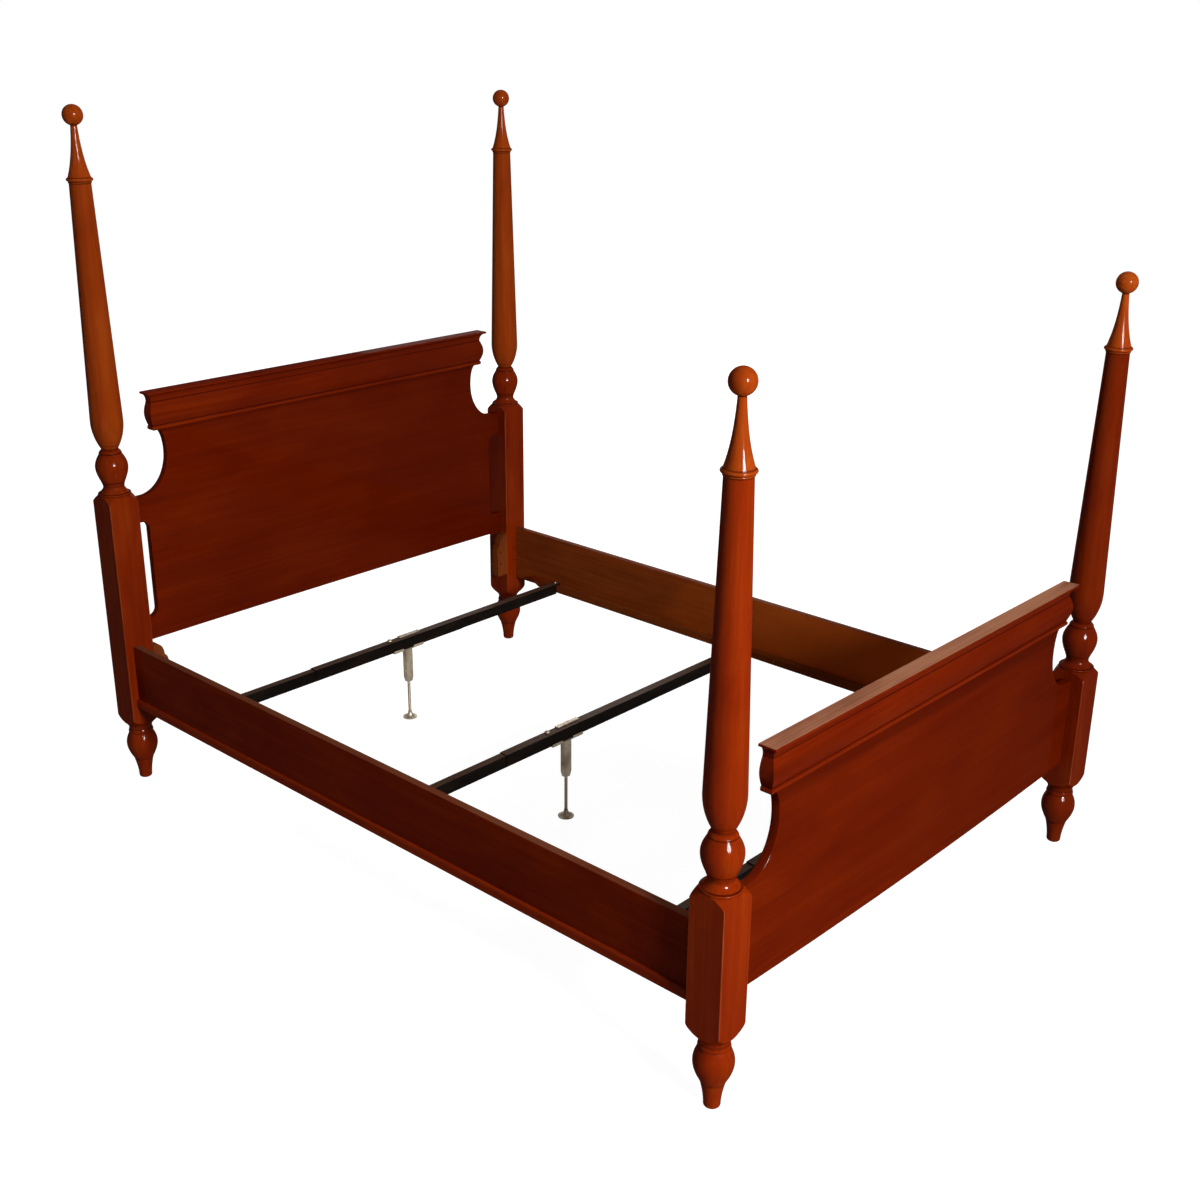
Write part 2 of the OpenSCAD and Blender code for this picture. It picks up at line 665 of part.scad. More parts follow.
// Ledger strip with sloping ends, screwed to the inside of the rail
ledger_screw_count = 8;
ledger_screw_in = 40;
ledger_screw_reach = ledger_half - ledger_bevel - ledger_screw_in;
ledger_screw_ys = [for (i = [0:ledger_screw_count - 1])
    ledger_screw_reach * (2 * i / (ledger_screw_count - 1) - 1)];
screw_r = 2.2;
screw_head_r = 4.4;
screw_len = 34;
module ledger_screw(y, gap) {
    translate([ledger_in, y, ledger_low + ledger_h / 2]) rotate([0, 90, 0]) {
        cylinder(r1 = screw_head_r + gap, r2 = screw_r + gap, h = 3, $fn = 32);
        cylinder(r = screw_r + gap, h = screw_len, $fn = 32);
    }
}
module rail_ledger(sx) {
    color(pale_wood) mirror([sx < 0 ? 1 : 0, 0, 0]) difference() {
        translate([ledger_in + ledger_w / 2, 0, 0]) run_x(ledger_w) polygon([
            [-ledger_half, ledger_top], [-ledger_half + ledger_bevel, ledger_low],
            [ledger_half - ledger_bevel, ledger_low], [ledger_half, ledger_top]]);
        for (y = ledger_screw_ys) ledger_screw(y, wood_gap);
        for (y = cross_ys) cross_screw(y, ledger_top, wood_gap);
    }
}
module rail_ledger_left() { rail_ledger(-1); }
module rail_ledger_right() { rail_ledger(1); }
module ledger_screws() {
    color(bare_steel) for (sx = [-1, 1], y = ledger_screw_ys)
        mirror([sx < 0 ? 1 : 0, 0, 0]) ledger_screw(y, 0);
}

// Hook plate: its body sits in the rail's kerf and its two hooks hang on the post's pins
module hook_plate(sx, sy) {
    color(bare_steel) mirror([sx < 0 ? 1 : 0, 0, 0]) mirror([0, sy < 0 ? 1 : 0, 0]) difference() {
        translate([rail_mid - hook_t / 2, 0, 0]) union() {
            box_between([0, post_in_y - hook_plate_w, hook_mid_z - hook_plate_h / 2],
                [hook_t, post_in_y, hook_mid_z + hook_plate_h / 2]);
            for (z = hook_zs)
                box_between([0, post_in_y - 1, z - 12], [hook_t, post_in_y + hook_reach, z + 9]);
        }
        for (z = hook_zs) {
            rivet_shape(z, wood_gap);
            translate([rail_mid - hook_t, post_in_y + hook_pin_back, z]) rotate([0, 90, 0])
                cylinder(r = hook_pin_r + wood_gap, h = 2 * hook_t, $fn = 48);
            box_between([rail_mid - hook_t, post_in_y + hook_pin_back - hook_pin_r - wood_gap, z - 13],
                [rail_mid + hook_t, post_in_y + hook_pin_back + hook_pin_r + wood_gap, z]);
        }
    }
}
module hook_plate_head_left() { hook_plate(-1, 1); }
module hook_plate_head_right() { hook_plate(1, 1); }
module hook_plate_foot_left() { hook_plate(-1, -1); }
module hook_plate_foot_right() { hook_plate(1, -1); }
module hook_pins() {
    color(bare_steel) for (sx = [-1, 1], sy = [-1, 1], z = hook_zs) at_corner(sx, sy)
        translate([-block_side / 2, -block_side / 2 + hook_pin_back, z]) rotate([0, 90, 0])
            cylinder(r = hook_pin_r, h = hook_pin_len, $fn = 48);
}

// Angle steel with its top flange behind its upright flange, which is cut short at the ledger
module angle(x0, x1, upright_x0, upright_x1, front, top) {
    box_between([x0, front, top - angle_t], [x1, angle_w / 2, top]);
    box_between([upright_x0, front, top - angle_h], [upright_x1, front + angle_t, top]);
}
upright_end = ledger_in - 1;
lap_left = -angle_lap / 2 - lap_shift;
lap_right = angle_lap / 2 - lap_shift;
// The inner angle lies on the left ledger and its other end inside the outer angle
module cross_rail_inner(i) {
    color(black_steel) difference() {
        translate([0, cross_ys[i], 0])
            angle(-rail_in + angle_end_gap, lap_right, -upright_end, lap_right, angle_front + angle_t, inner_top);
        cross_screw(cross_ys[i], ledger_top, wood_gap);
        clamp_shank(i, wood_gap);
    }
}
// The outer angle laps over it and rests on the right ledger on a welded end pad
module cross_rail_outer(i) {
    color(black_steel) difference() {
        translate([0, cross_ys[i], 0]) union() {
            angle(lap_left, rail_in - angle_end_gap, lap_left, upright_end, angle_front, outer_top);
            box_between([ledger_in + 1, angle_front, ledger_top], [rail_in - angle_end_gap, angle_w / 2, inner_top + 0.5]);
        }
        cross_screw(cross_ys[i], ledger_top, wood_gap);
        clamp_shank(i, wood_gap);
    }
}
module cross_rail_head_inner() { cross_rail_inner(0); }
module cross_rail_head_outer() { cross_rail_outer(0); }
module cross_rail_middle_inner() { cross_rail_inner(1); }
module cross_rail_middle_outer() { cross_rail_outer(1); }
module cross_rail_foot_inner() { cross_rail_inner(2); }
module cross_rail_foot_outer() { cross_rail_outer(2); }

// One screw at each end of a cross rail, into the ledger
cross_screw_down = 18;
cross_screw_head_h = 3;
module cross_screw(y, seat, gap) {
    for (sx = [-1, 1]) {
        top = sx < 0 ? inner_top : outer_top;
        translate([sx * cross_screw_x, y + cross_screw_y, 0]) {
            translate([0, 0, seat - cross_screw_down]) cylinder(r = screw_r + gap, h = top - seat + cross_screw_down, $fn = 32);
            if (gap == 0) translate([0, 0, top])
                cylinder(r1 = screw_head_r, r2 = screw_head_r * 0.6, h = cross_screw_head_h, $fn = 32);
        }
    }
}
module cross_rail_screws() {
    color(bare_steel) for (y = cross_ys) cross_screw(y, ledger_top, 0);
}

// Bolt that clamps the two angles together beside each leg, with its nut underneath
clamp_r = 3;
clamp_head_r = 8;
clamp_nut_r = 6;
clamp_nut_h = 5;
module clamp_shank(i, gap) {
    translate([leg_xs[i] + clamp_x, cross_ys[i] + clamp_y, angle_z - clamp_nut_h - 1])
        cylinder(r = clamp_r + gap, h = outer_top - angle_z + clamp_nut_h + (gap == 0 ? 2 : 1), $fn = 32);
}
module clamp_bolts() {
    color(bare_steel) for (i = [0:2]) {
        clamp_shank(i, 0);
        translate([leg_xs[i] + clamp_x, cross_ys[i] + clamp_y, 0]) {
            translate([0, 0, outer_top]) rotate_extrude() polygon(concat(
                [[0, 0]], arc(0, 1, clamp_head_r, 5, 0, 90, 8), [[0, 6]]));
            translate([0, 0, angle_z - clamp_nut_h]) difference() {
                cylinder(r = clamp_nut_r, h = clamp_nut_h, $fn = 6);
                translate([0, 0, -1]) cylinder(r = clamp_r + wood_gap, h = clamp_nut_h + 2, $fn = 32);
            }
        }
    }
}

// Leg bracket: a floor under the angles with two lips up their front, a back plate, a leaf
// under the top flange and a clip that turns up and over the top flange's back edge
lip_in = 21.5;
lip_w = 40;
lip_rise = 6;
back_x0 = -30;
clip_x0 = -22;
clip_x1 = 63;
clip_over = 12;
edge_gap = 0.2;
module leg_bracket(i) {
    back = angle_front + 2 * angle_t;
    over = angle_back + edge_gap;
    color(bare_steel) translate([leg_xs[i], cross_ys[i], 0]) union() {
        box_between([-lip_in - lip_w, leg_front, leg_roof], [lip_in + lip_w, back + sheet_t, inner_low]);
        for (sx = [-1, 1]) mirror([sx < 0 ? 1 : 0, 0, 0])
            box_between([lip_in, leg_front, leg_roof], [lip_in + lip_w, angle_front, inner_low + lip_rise]);
        box_between([back_x0, back, leg_roof], [clip_x1, back + sheet_t, angle_z]);
        box_between([clip_x0, back, angle_z - sheet_t], [clip_x1, over + sheet_t, angle_z]);
        box_between([clip_x0, over, angle_z - sheet_t], [clip_x1, over + sheet_t, outer_top + sheet_t]);
        box_between([clip_x0, over - clip_over, outer_top], [clip_x1, over + sheet_t, outer_top + sheet_t]);
    }
}
module leg_bracket_head() { leg_bracket(0); }
module leg_bracket_middle() { leg_bracket(1); }
module leg_bracket_foot() { leg_bracket(2); }

// Leg channel, welded under the bracket: open at the back, and pinched round the stem at its
// lower end. Its outside has inset 0 and its inside an inset of one sheet thickness
taper_x = 4;
taper_y = 1.2;
module channel_shape(inset, low, top, back) {
    w = leg_w / 2 - inset;
    f = leg_front + inset;
    bend = leg_low + leg_taper;
    intersection() {
        run_y(far) polygon([[-w + taper_x, low], [w - taper_x, low], [w, bend], [w, top], [-w, top], [-w, bend]]);
        run_x(far) polygon([[f + taper_y, low], [back - taper_y, low], [back, bend], [back, top], [f, top], [f, bend]]);
    }
}
module leg_channel(i) {
    color(bare_steel) translate([leg_xs[i], cross_ys[i], 0]) difference() {
        channel_shape(0, leg_low, leg_roof, leg_front + leg_d);
        channel_shape(sheet_t, leg_low + sheet_t, leg_roof + 1, leg_front + leg_d + 2 * taper_y);
        translate([0, stem_y, leg_low - 1]) cylinder(r = stem_r + 3 * run_gap, h = sheet_t + 2);
        for (sx = [-1, 1]) leg_rivet(sx, wood_gap);
    }
}
module leg_channel_head() { leg_channel(0); }
module leg_channel_middle() { leg_channel(1); }
module leg_channel_foot() { leg_channel(2); }

// Threaded blocks between the channels' sides, each held by a rivet from either side
leg_block_half = leg_w / 2 - sheet_t;
module leg_blocks() {
    color(bare_steel) for (i = [0:2]) translate([leg_xs[i], cross_ys[i], 0]) difference() {
        box_between([-leg_block_half, leg_front + sheet_t, leg_block_z - leg_block_h / 2],
            [leg_block_half, leg_front + leg_d - leg_block_side, leg_block_z + leg_block_h / 2]);
        translate([0, stem_y, 0]) cylinder(r = stem_r + run_gap, h = far);
        for (sx = [-1, 1]) leg_rivet(sx, wood_gap);
    }
}
leg_rivet_r = 2.5;
leg_rivet_in = 3;
module leg_rivet(sx, gap) {
    mirror([sx < 0 ? 1 : 0, 0, 0]) translate([leg_block_half - leg_rivet_in - gap, stem_y, leg_block_z])
        rotate([0, 90, 0]) {
            cylinder(r = leg_rivet_r + gap, h = leg_rivet_in + sheet_t + 2 * gap, $fn = 32);
            if (gap == 0) translate([0, 0, leg_rivet_in + sheet_t])
                cylinder(r1 = 5, r2 = 3, h = 2, $fn = 32);
        }
}
module leg_rivets() {
    color(bare_steel) for (i = [0:2], sx = [-1, 1])
        translate([leg_xs[i], cross_ys[i], 0]) leg_rivet(sx, 0);
}

// Threaded stem with a turned-down tip that turns in the glide
module leg_stem(i) {
    shoulder = glide_h + run_gap;
    color(bare_steel) translate([leg_xs[i], cross_ys[i] + stem_y, 0]) {
        translate([0, 0, stem_foot_z + run_gap]) cylinder(r = stem_tip_r, h = shoulder - stem_foot_z);
        translate([0, 0, shoulder]) cylinder(r = stem_r, h = stem_top - shoulder);
    }
}
module leg_stem_head() { leg_stem(0); }
module leg_stem_middle() { leg_stem(1); }
module leg_stem_foot() { leg_stem(2); }

// Round glide: flat sole, thin rim, hollow-sided cone and a boss with a blind bore
glide_boss_r = 6.5;
module leg_glide(i) {
    color(bare_steel) translate([leg_xs[i], cross_ys[i] + stem_y, 0]) difference() {
        rotate_extrude() polygon(concat([[0, 0], [glide_r - 1, 0], [glide_r, 1], [glide_r, 2.6]],
            [for (t = [0:6]) let(a = 90 * t / 6)
                [glide_boss_r + (glide_r - 1 - glide_boss_r) * (1 - sin(a)), 3.6 + (glide_h - 5.6) * (1 - cos(a))]],
            [[glide_boss_r, glide_h], [0, glide_h]]));
        translate([0, 0, stem_foot_z]) cylinder(r = stem_tip_r + run_gap, h = glide_h);
    }
}
module leg_glide_head() { leg_glide(0); }
module leg_glide_middle() { leg_glide(1); }
module leg_glide_foot() { leg_glide(2); }

head_post_left();
head_post_right();
foot_post_left();
foot_post_right();
head_shaft_left();
head_shaft_right();
foot_shaft_left();
foot_shaft_right();
head_finial_left();
head_finial_right();
foot_finial_left();
foot_finial_right();
post_studs();
headboard_panel();
headboard_frieze();
headboard_bead();
headboard_cap();
footboard_panel();
footboard_frieze();
footboard_bead();
footboard_cap();
frame_block_left();
frame_block_right();
frame_block_dowels();
side_rail_left();
side_rail_right();
rail_moulding_left();
rail_moulding_right();
rail_ledger_left();
rail_ledger_right();
ledger_screws();
hook_plate_head_left();
hook_plate_head_right();
hook_plate_foot_left();
hook_plate_foot_right();
hook_rivets();
hook_pins();
cross_rail_head_inner();
cross_rail_head_outer();
cross_rail_middle_inner();
cross_rail_middle_outer();
cross_rail_foot_inner();
cross_rail_foot_outer();
cross_rail_screws();
leg_bracket_head();
leg_bracket_middle();
leg_bracket_foot();
leg_channel_head();
leg_channel_middle();
leg_channel_foot();
leg_rivets();
leg_blocks();
clamp_bolts();
leg_stem_head();
leg_stem_middle();
leg_stem_foot();
leg_glide_head();
leg_glide_middle();
leg_glide_foot();
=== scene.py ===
"""Dressed model of a four-poster bed: turned posts, moulded boards, hooked rails and steel cross rails."""
import math
from contextlib import contextmanager
from functools import partial, reduce

import bmesh
import bpy
from bpy.props import FloatProperty, FloatVectorProperty, IntProperty, PointerProperty
from mathutils import Matrix, Vector


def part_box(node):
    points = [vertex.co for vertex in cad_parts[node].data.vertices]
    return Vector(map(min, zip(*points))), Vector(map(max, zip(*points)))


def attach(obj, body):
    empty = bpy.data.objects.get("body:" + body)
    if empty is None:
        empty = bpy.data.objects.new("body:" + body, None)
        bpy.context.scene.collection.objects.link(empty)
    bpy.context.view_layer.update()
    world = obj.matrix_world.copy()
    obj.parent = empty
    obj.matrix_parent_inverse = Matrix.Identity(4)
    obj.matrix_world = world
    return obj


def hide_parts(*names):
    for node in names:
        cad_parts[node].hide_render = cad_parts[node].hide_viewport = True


bl_info = {
    "name": "Four-poster bed",
    "version": (1, 0, 0),
    "blender": (4, 5, 0),
    "location": "View3D > Sidebar > Bed",
    "description": "Builds the visible pieces of a four-poster bed over its packed frame",
    "category": "Object",
}

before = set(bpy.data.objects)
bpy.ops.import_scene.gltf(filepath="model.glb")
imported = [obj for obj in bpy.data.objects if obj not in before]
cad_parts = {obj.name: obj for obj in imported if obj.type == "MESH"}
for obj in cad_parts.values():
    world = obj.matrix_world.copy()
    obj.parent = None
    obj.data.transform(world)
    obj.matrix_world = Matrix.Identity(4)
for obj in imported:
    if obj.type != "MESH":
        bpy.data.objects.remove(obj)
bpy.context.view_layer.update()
MM = 0.001
BODY = "frame"
LEGS = ("head", "middle", "foot")
SIDES = (("left", True), ("right", False))

# Lamps as (name, place, height that it points at, size, power, rays that miss it), and the world's strength
LAMPS = (
    ("key", (-1.75, -6.40, 3.40), 0.6, 1.6, 415.0, ()),
    ("shine", (-2.20, -6.30, 3.05), 0.6, 2.0, 4600.0, ("visible_diffuse",)),
    ("top_fill", (1.5, 1.5, 5.5), 0.5, 4.0, 30.0, ()),
    ("back_fill", (4.50, 4.20, 2.40), 0.7, 3.0, 170.0, ("visible_camera",)),
)
AMBIENT = 0.07
FLOOR_HALF, FLOOR_DROP = 60000.0, 0.6

# The camera that the photograph was taken with, in pixels, metres and degrees
PHOTO_PX = 1200.0
CAMERA_FOCAL_PX = 1502.5
CAMERA_CENTRE = (580.2, 610.1)
CAMERA_PLACE = (-2.8555, -2.6555, 2.118)
CAMERA_ANGLES = (-46.97, 21.08, 0.24)
SENSOR = 36.0


# Sizes and colours that a user would change

def length(name, description, default):
    return FloatProperty(name=name, description=description, default=default, min=0.0,
                         subtype="DISTANCE", unit="LENGTH", precision=4)


def colour(name, description, default):
    return FloatVectorProperty(name=name, description=description, default=default, size=3,
                               min=0.0, max=1.0, subtype="COLOR")


class BedPostSizes(bpy.types.PropertyGroup):
    span_x: length("Span across", "Distance between the centre lines of left and right posts", 1.540)
    span_y: length("Span along", "Distance between the centre lines of foot and head posts", 2.190)
    head_block_top: length("Head block top", "Height of the head posts' square corners", 0.871)
    foot_block_top: length("Foot block top", "Height of the foot posts' square corners", 0.510)
    block_side: length("Block side", "Side of the posts' square blocks", 0.090)
    arris: length("Arris rounding", "Rounding of the blocks' four upright edges", 0.0018)
    shaft_length: length("Shaft length", "Length of the tapered shaft", 0.717)
    shaft_foot: length("Shaft foot", "Height of the shaft's rounded foot", 0.080)
    shaft_neck_radius: length("Shaft neck radius", "Radius where the shaft stands on the urn", 0.0226)
    shaft_radius: length("Shaft radius", "Largest radius of the shaft", 0.0448)
    shaft_top_radius: length("Shaft top radius", "Radius of the shaft under the collar", 0.0286)
    segments: IntProperty(name="Segments", description="Divisions round each turning", default=96, min=24)

    def inner(self):
        """Half the clear width and half the clear length between the posts, in millimetres."""
        return (self.span_x - self.block_side) / 2 / MM, (self.span_y - self.block_side) / 2 / MM


class BedBoardSizes(bpy.types.PropertyGroup):
    thickness: length("Board thickness", "Thickness of the headboard and footboard", 0.022)
    eased_edge: length("Eased edge", "Rounding of the boards' edges", 0.0018)
    crown_rise: length("Crown rise", "Height of the cap's top above the blocks' corners", 0.293)
    rail_top: length("Rail top", "Height of the side rails' upper edges", 0.441)
    rail_height: length("Rail height", "Depth of the side rails", 0.191)


class BedSteelSizes(bpy.types.PropertyGroup):
    thread_pitch: length("Thread pitch", "Pitch of the leg stems' threads", 0.0015)
    thread_depth: length("Thread depth", "Depth of the leg stems' threads", 0.0007)
    soft_edge: length("Soft edge", "Rounding of the pressed steel's edges", 0.0006)


class BedColours(bpy.types.PropertyGroup):
    board_dark: colour("Boards, dark", "Darkest figure of the boards and rails", (0.096, 0.0056, 0.0002))
    board_mid: colour("Boards, middle", "Body colour of the boards and rails", (0.160, 0.0112, 0.0003))
    board_light: colour("Boards, light", "Lightest streaks of the boards and rails", (0.235, 0.0215, 0.0008))
    post_dark: colour("Foot posts, dark", "Darkest figure of the foot posts", (0.185, 0.0110, 0.0003))
    post_mid: colour("Foot posts, middle", "Body colour of the foot posts", (0.275, 0.0225, 0.0008))
    post_light: colour("Foot posts, light", "Lightest streaks of the foot posts", (0.380, 0.0450, 0.0022))
    old_dark: colour("Head posts, dark", "Darkest figure of the head posts", (0.240, 0.0250, 0.0012))
    old_mid: colour("Head posts, middle", "Body colour of the head posts", (0.340, 0.0460, 0.0030))
    old_light: colour("Head posts, light", "Lightest streaks of the head posts", (0.460, 0.0860, 0.0085))
    inside: colour("Rail inside", "Thinly finished inner faces of the rails", (0.320, 0.0560, 0.0050))
    raw_wood: colour("Stained blocks", "Ledgers and frame blocks", (0.260, 0.0520, 0.0060))
    raw_dark: colour("Stained blocks, dark", "Figure of ledgers and frame blocks", (0.130, 0.0220, 0.0022))
    # Tone of upward faces: dusty, with a painted sheen
    dust: colour("Dust", "Haze on surfaces that face up", (0.560, 0.2500, 0.1350))
    black_paint: colour("Black paint", "Paint on the steel cross rails", (0.0035, 0.0020, 0.0012))
    zinc: colour("Bare steel", "Dull plated steel of the centre legs", (0.240, 0.198, 0.140))


# Node trees

OPERATIONS = ("ADD", "SUBTRACT", "MULTIPLY", "DIVIDE")


def forwards(operation):
    return lambda self, other: self.math(operation, other)


def backwards(operation):
    return lambda self, other: self.graph.math(operation, other, self)


class Value:
    """A socket of numbers that Python's operators extend with Math nodes."""

    __add__, __sub__, __mul__, __truediv__ = map(forwards, OPERATIONS)
    __radd__, __rsub__, __rmul__, __rtruediv__ = map(backwards, OPERATIONS)

    def __init__(self, graph, socket):
        self.graph = graph
        self.socket = socket

    def __abs__(self):
        return self.math("ABSOLUTE")

    def math(self, operation, *others):
        return self.graph.math(operation, self, *others)


class Graph:
    """Adds nodes to one tree; a node takes its type, its sockets' values or links, and its settings."""

    def __init__(self, tree):
        self.tree = tree

    def add(self, kind, inputs=None, **settings):
        node = self.tree.nodes.new(kind)
        for key, setting in settings.items():
            if key == "stops":
                self.stops(node.color_ramp, setting)
            else:
                setattr(node, key, setting)
        for key, given in (inputs or {}).items():
            self.feed(node.inputs[key], given)
        return node

    def feed(self, socket, given):
        """Links a value, a node or a socket to an input, or sets the input's own value."""
        if isinstance(given, Value):
            given = given.socket
        if isinstance(given, bpy.types.Node):
            given = given.outputs[0]
        if isinstance(given, bpy.types.NodeSocket):
            self.tree.links.new(given, socket)
        else:
            socket.default_value = given

    @staticmethod
    def stops(ramp, stops):
        ramp.elements.remove(ramp.elements[-1])
        for i, (place, tone) in enumerate(stops):
            element = ramp.elements.new(place) if i else ramp.elements[0]
            element.position = place
            element.color = (*tone, 1.0)

    def value(self, node, output=0):
        return Value(self, node.outputs[output])

    def math(self, operation, *terms):
        return self.value(self.add("ShaderNodeMath", dict(enumerate(terms)), operation=operation))

    def split(self, vector):
        """The three parts of a vector."""
        node = self.add("ShaderNodeSeparateXYZ", {0: vector})
        return [self.value(node, i) for i in range(3)]

    def step(self, value, low, high, out_low=0.0, out_high=1.0):
        return self.value(self.add("ShaderNodeMapRange", {0: value, 1: low, 2: high, 3: out_low, 4: out_high},
                                   interpolation_type="SMOOTHSTEP"))

    def band(self, value, centre, half, strength):
        """A soft band round one value."""
        return self.step(abs(value - centre), 0.4 * half, 1.4 * half, strength, 0.0)

    def blend(self, factor, low, high):
        low, high = (tone if isinstance(tone, bpy.types.NodeSocket) else (*tone, 1.0) for tone in (low, high))
        return self.add("ShaderNodeMix", {0: factor, 6: low, 7: high}, data_type="RGBA").outputs[2]


class Finish(Graph):
    """One material, with its Principled shader and the place of each point on the object."""

    def __init__(self, name):
        self.material = bpy.data.materials.new(name)
        self.material.use_nodes = True
        super().__init__(self.material.node_tree)
        self.shader = self.tree.nodes["Principled BSDF"]
        self.place = self.add("ShaderNodeTexCoord").outputs["Object"]

    def facing_up(self):
        """How far a point's surface looks upwards."""
        return self.split(self.add("ShaderNodeNewGeometry").outputs["Normal"])[2]

    def noise(self, scale, shift=(0.0, 0.0, 0.0), detail=3.0, distortion=0.0):
        place = self.add("ShaderNodeMapping", {"Vector": self.place, "Scale": scale, "Location": shift})
        return self.value(self.add("ShaderNodeTexNoise", {"Vector": place, "Scale": 1.0, "Detail": detail,
                                                          "Distortion": distortion}))

    def finish(self, base, roughness, height, strength, distance, metallic=0.0, specular=0.5, coat=0.0,
               coat_roughness=0.1, coat_ior=1.5):
        """Feeds the shader; the bump comes from a height, a strength and a distance."""
        bump = self.add("ShaderNodeBump", {"Height": height, "Strength": strength, "Distance": distance})
        inputs = {"Base Color": base, "Roughness": roughness, "Metallic": metallic, "Normal": bump,
                  "Specular IOR Level": specular, "Coat Weight": coat, "Coat Roughness": coat_roughness,
                  "Coat IOR": coat_ior}
        for key, given in inputs.items():
            self.feed(self.shader.inputs[key], given)
        return self.material


def piece_tree(name, *sockets):
    """A Geometry Nodes tree with named inputs; its graph, and its inputs as values by their names."""
    tree = bpy.data.node_groups.new(name, "GeometryNodeTree")
    for label, kind in (("Geometry", "Geometry"), *sockets):
        tree.interface.new_socket(label, in_out="INPUT", socket_type=f"NodeSocket{kind}")
    tree.interface.new_socket("Geometry", in_out="OUTPUT", socket_type="NodeSocketGeometry")
    g = Graph(tree)
    given = g.add("NodeGroupInput")
    return g, {s.name: g.value(given, i) for i, s in enumerate(given.outputs) if s.name}


def end_tree(g, geometry, material):
    """Ends a tree with real geometry in its material."""
    real = g.add("GeometryNodeRealizeInstances", {0: geometry})
    painted = g.add("GeometryNodeSetMaterial", {"Geometry": real, "Material": material})
    g.add("NodeGroupOutput", {0: painted})
    return g.tree


def grown(obj, tree, values):
    """Runs a tree on an object, with the tree's inputs set by their identifiers."""
    keys = {s.name: s.identifier for s in tree.interface.items_tree if s.in_out == "INPUT"}
    change = obj.modifiers.new("grow", "NODES")
    change.node_group = tree
    for name, value in values.items():
        change[keys[name]] = value
    return settle(obj)


# Materials

# Pale upright arrises: wear along the edges, with a painted highlight
WORN_AND_HIGHLIT_ARRIS = (0.42, 0.085, 0.028)
# Upper faces of the rails: dusty, with a painted sheen
RAIL_DUST_AND_SHEEN = (0.20, 0.070, 0.034)
# Black paint's stain and scuff marks, and its upper faces' dusty tone with a painted sheen
PAINT_STAIN, PAINT_RUB, PAINT_DUST_AND_SHEEN = (0.018, 0.0100, 0.0055), (0.050, 0.0300, 0.0180), (0.150, 0.0760, 0.0440)
STEEL_STAIN, STEEL_SPOT = (0.095, 0.058, 0.034), (0.380, 0.320, 0.260)
# Half width of the painted shade that darkens the boards towards +x
FALLOFF_HALF = 0.75


def along(axis, lengthwise, crosswise):
    """A scale that stretches a pattern along one axis."""
    return tuple(lengthwise if i == axis else crosswise for i in range(3))


def scaled(tone, by):
    """A colour or a place with its parts multiplied."""
    return tuple(by * c for c in tone)


def cherry_wood(name, axis, tones, shift, figure=1.0, arrises=None, dust=None, lines=(), rubs=(), fade=0.0,
                coat=0.014):
    """Stained cherry under a lacquer: soft mottling, streaks and fine pores along one axis."""
    m = Finish(name)
    x, y, z = m.split(m.place)
    dark, _, light = tones
    mottle = m.noise(along(axis, 2.6, 7.5), shift, 4.0, 0.9)
    bands = m.noise(along(axis, 1.1, 34.0), shift, 3.0, 0.6)
    streaks = m.noise(along(axis, 2.5, 150.0), shift, 4.0, 0.3)
    pores = m.noise(along(axis, 45.0, 1100.0), shift, 2.0)
    mix = 0.5 + (mottle - 0.5) * (0.90 * figure) + (bands - 0.5) * (0.34 * figure) + (streaks - 0.5) * 0.42
    ramp = m.add("ShaderNodeValToRGB", {0: mix}, stops=tuple(zip((0.18, 0.50, 0.84), tones)))
    pore_mask = m.step(pores, 0.56, 0.72)
    base = m.blend(pore_mask * 0.28, ramp.outputs[0], scaled(dark, 0.55))
    # Pale arrises: partly wear, partly a painted highlight along the blocks' upright edges
    if arrises:
        edge_x, edge_y = abs(abs(x) - arrises[0]), abs(abs(y) - arrises[1])
        worn_and_highlit = m.step(edge_x.math("MINIMUM", edge_y), arrises[2] - 0.0022, arrises[2])
        base = m.blend(worn_and_highlit * m.step(streaks, 0.35, 0.7, 0.25, 1.0) * 0.8, base, WORN_AND_HIGHLIT_ARRIS)
    # Painted shade: the colour darkens towards +x, standing in for light that falls off across the piece
    if fade:
        across = m.step(x + (mottle - 0.5) * 0.5, -FALLOFF_HALF, FALLOFF_HALF, 0.0, fade)
        base = m.blend(across, base, scaled(dark, 0.5))
    # Dark bands at given heights: stain gathered in grooves and necks, and painted shade in recesses and
    # under mouldings
    if lines:
        stain_and_shade = reduce(lambda a, b: a.math("MAXIMUM", b), (m.band(z, *line) for line in lines))
        base = m.blend(stain_and_shade * m.step(mottle, 0.2, 0.6, 0.7, 1.0), base, scaled(dark, 0.16))
    # Painted highlights: pale bands at given heights along edges that catch the light
    for rub in rubs:
        painted_highlight = m.band(z, *rub) * m.step(streaks, 0.35, 0.6, 0.5, 1.0)
        base = m.blend(painted_highlight, base, scaled(light, 1.5))
    # Upward faces paler: dusty, with a painted sheen
    if dust:
        tone, height = dust
        patches = m.step(mottle + (streaks - 0.5) * 0.5, 0.25, 0.62, 0.45, 0.95)
        dust_and_painted_sheen = m.step(m.facing_up(), 0.80, 0.99) * patches * m.step(z, height - 0.003, height)
        base = m.blend(dust_and_painted_sheen * 0.85, base, tone)
    roughness = 0.23 + streaks * 0.10 + pore_mask * 0.08 + (mottle - 0.5) * 0.08
    return m.finish(base, roughness, pore_mask * -1.0 + streaks * 0.3, 0.10, 0.0001, specular=0.0, coat=coat,
                    coat_ior=2.0)


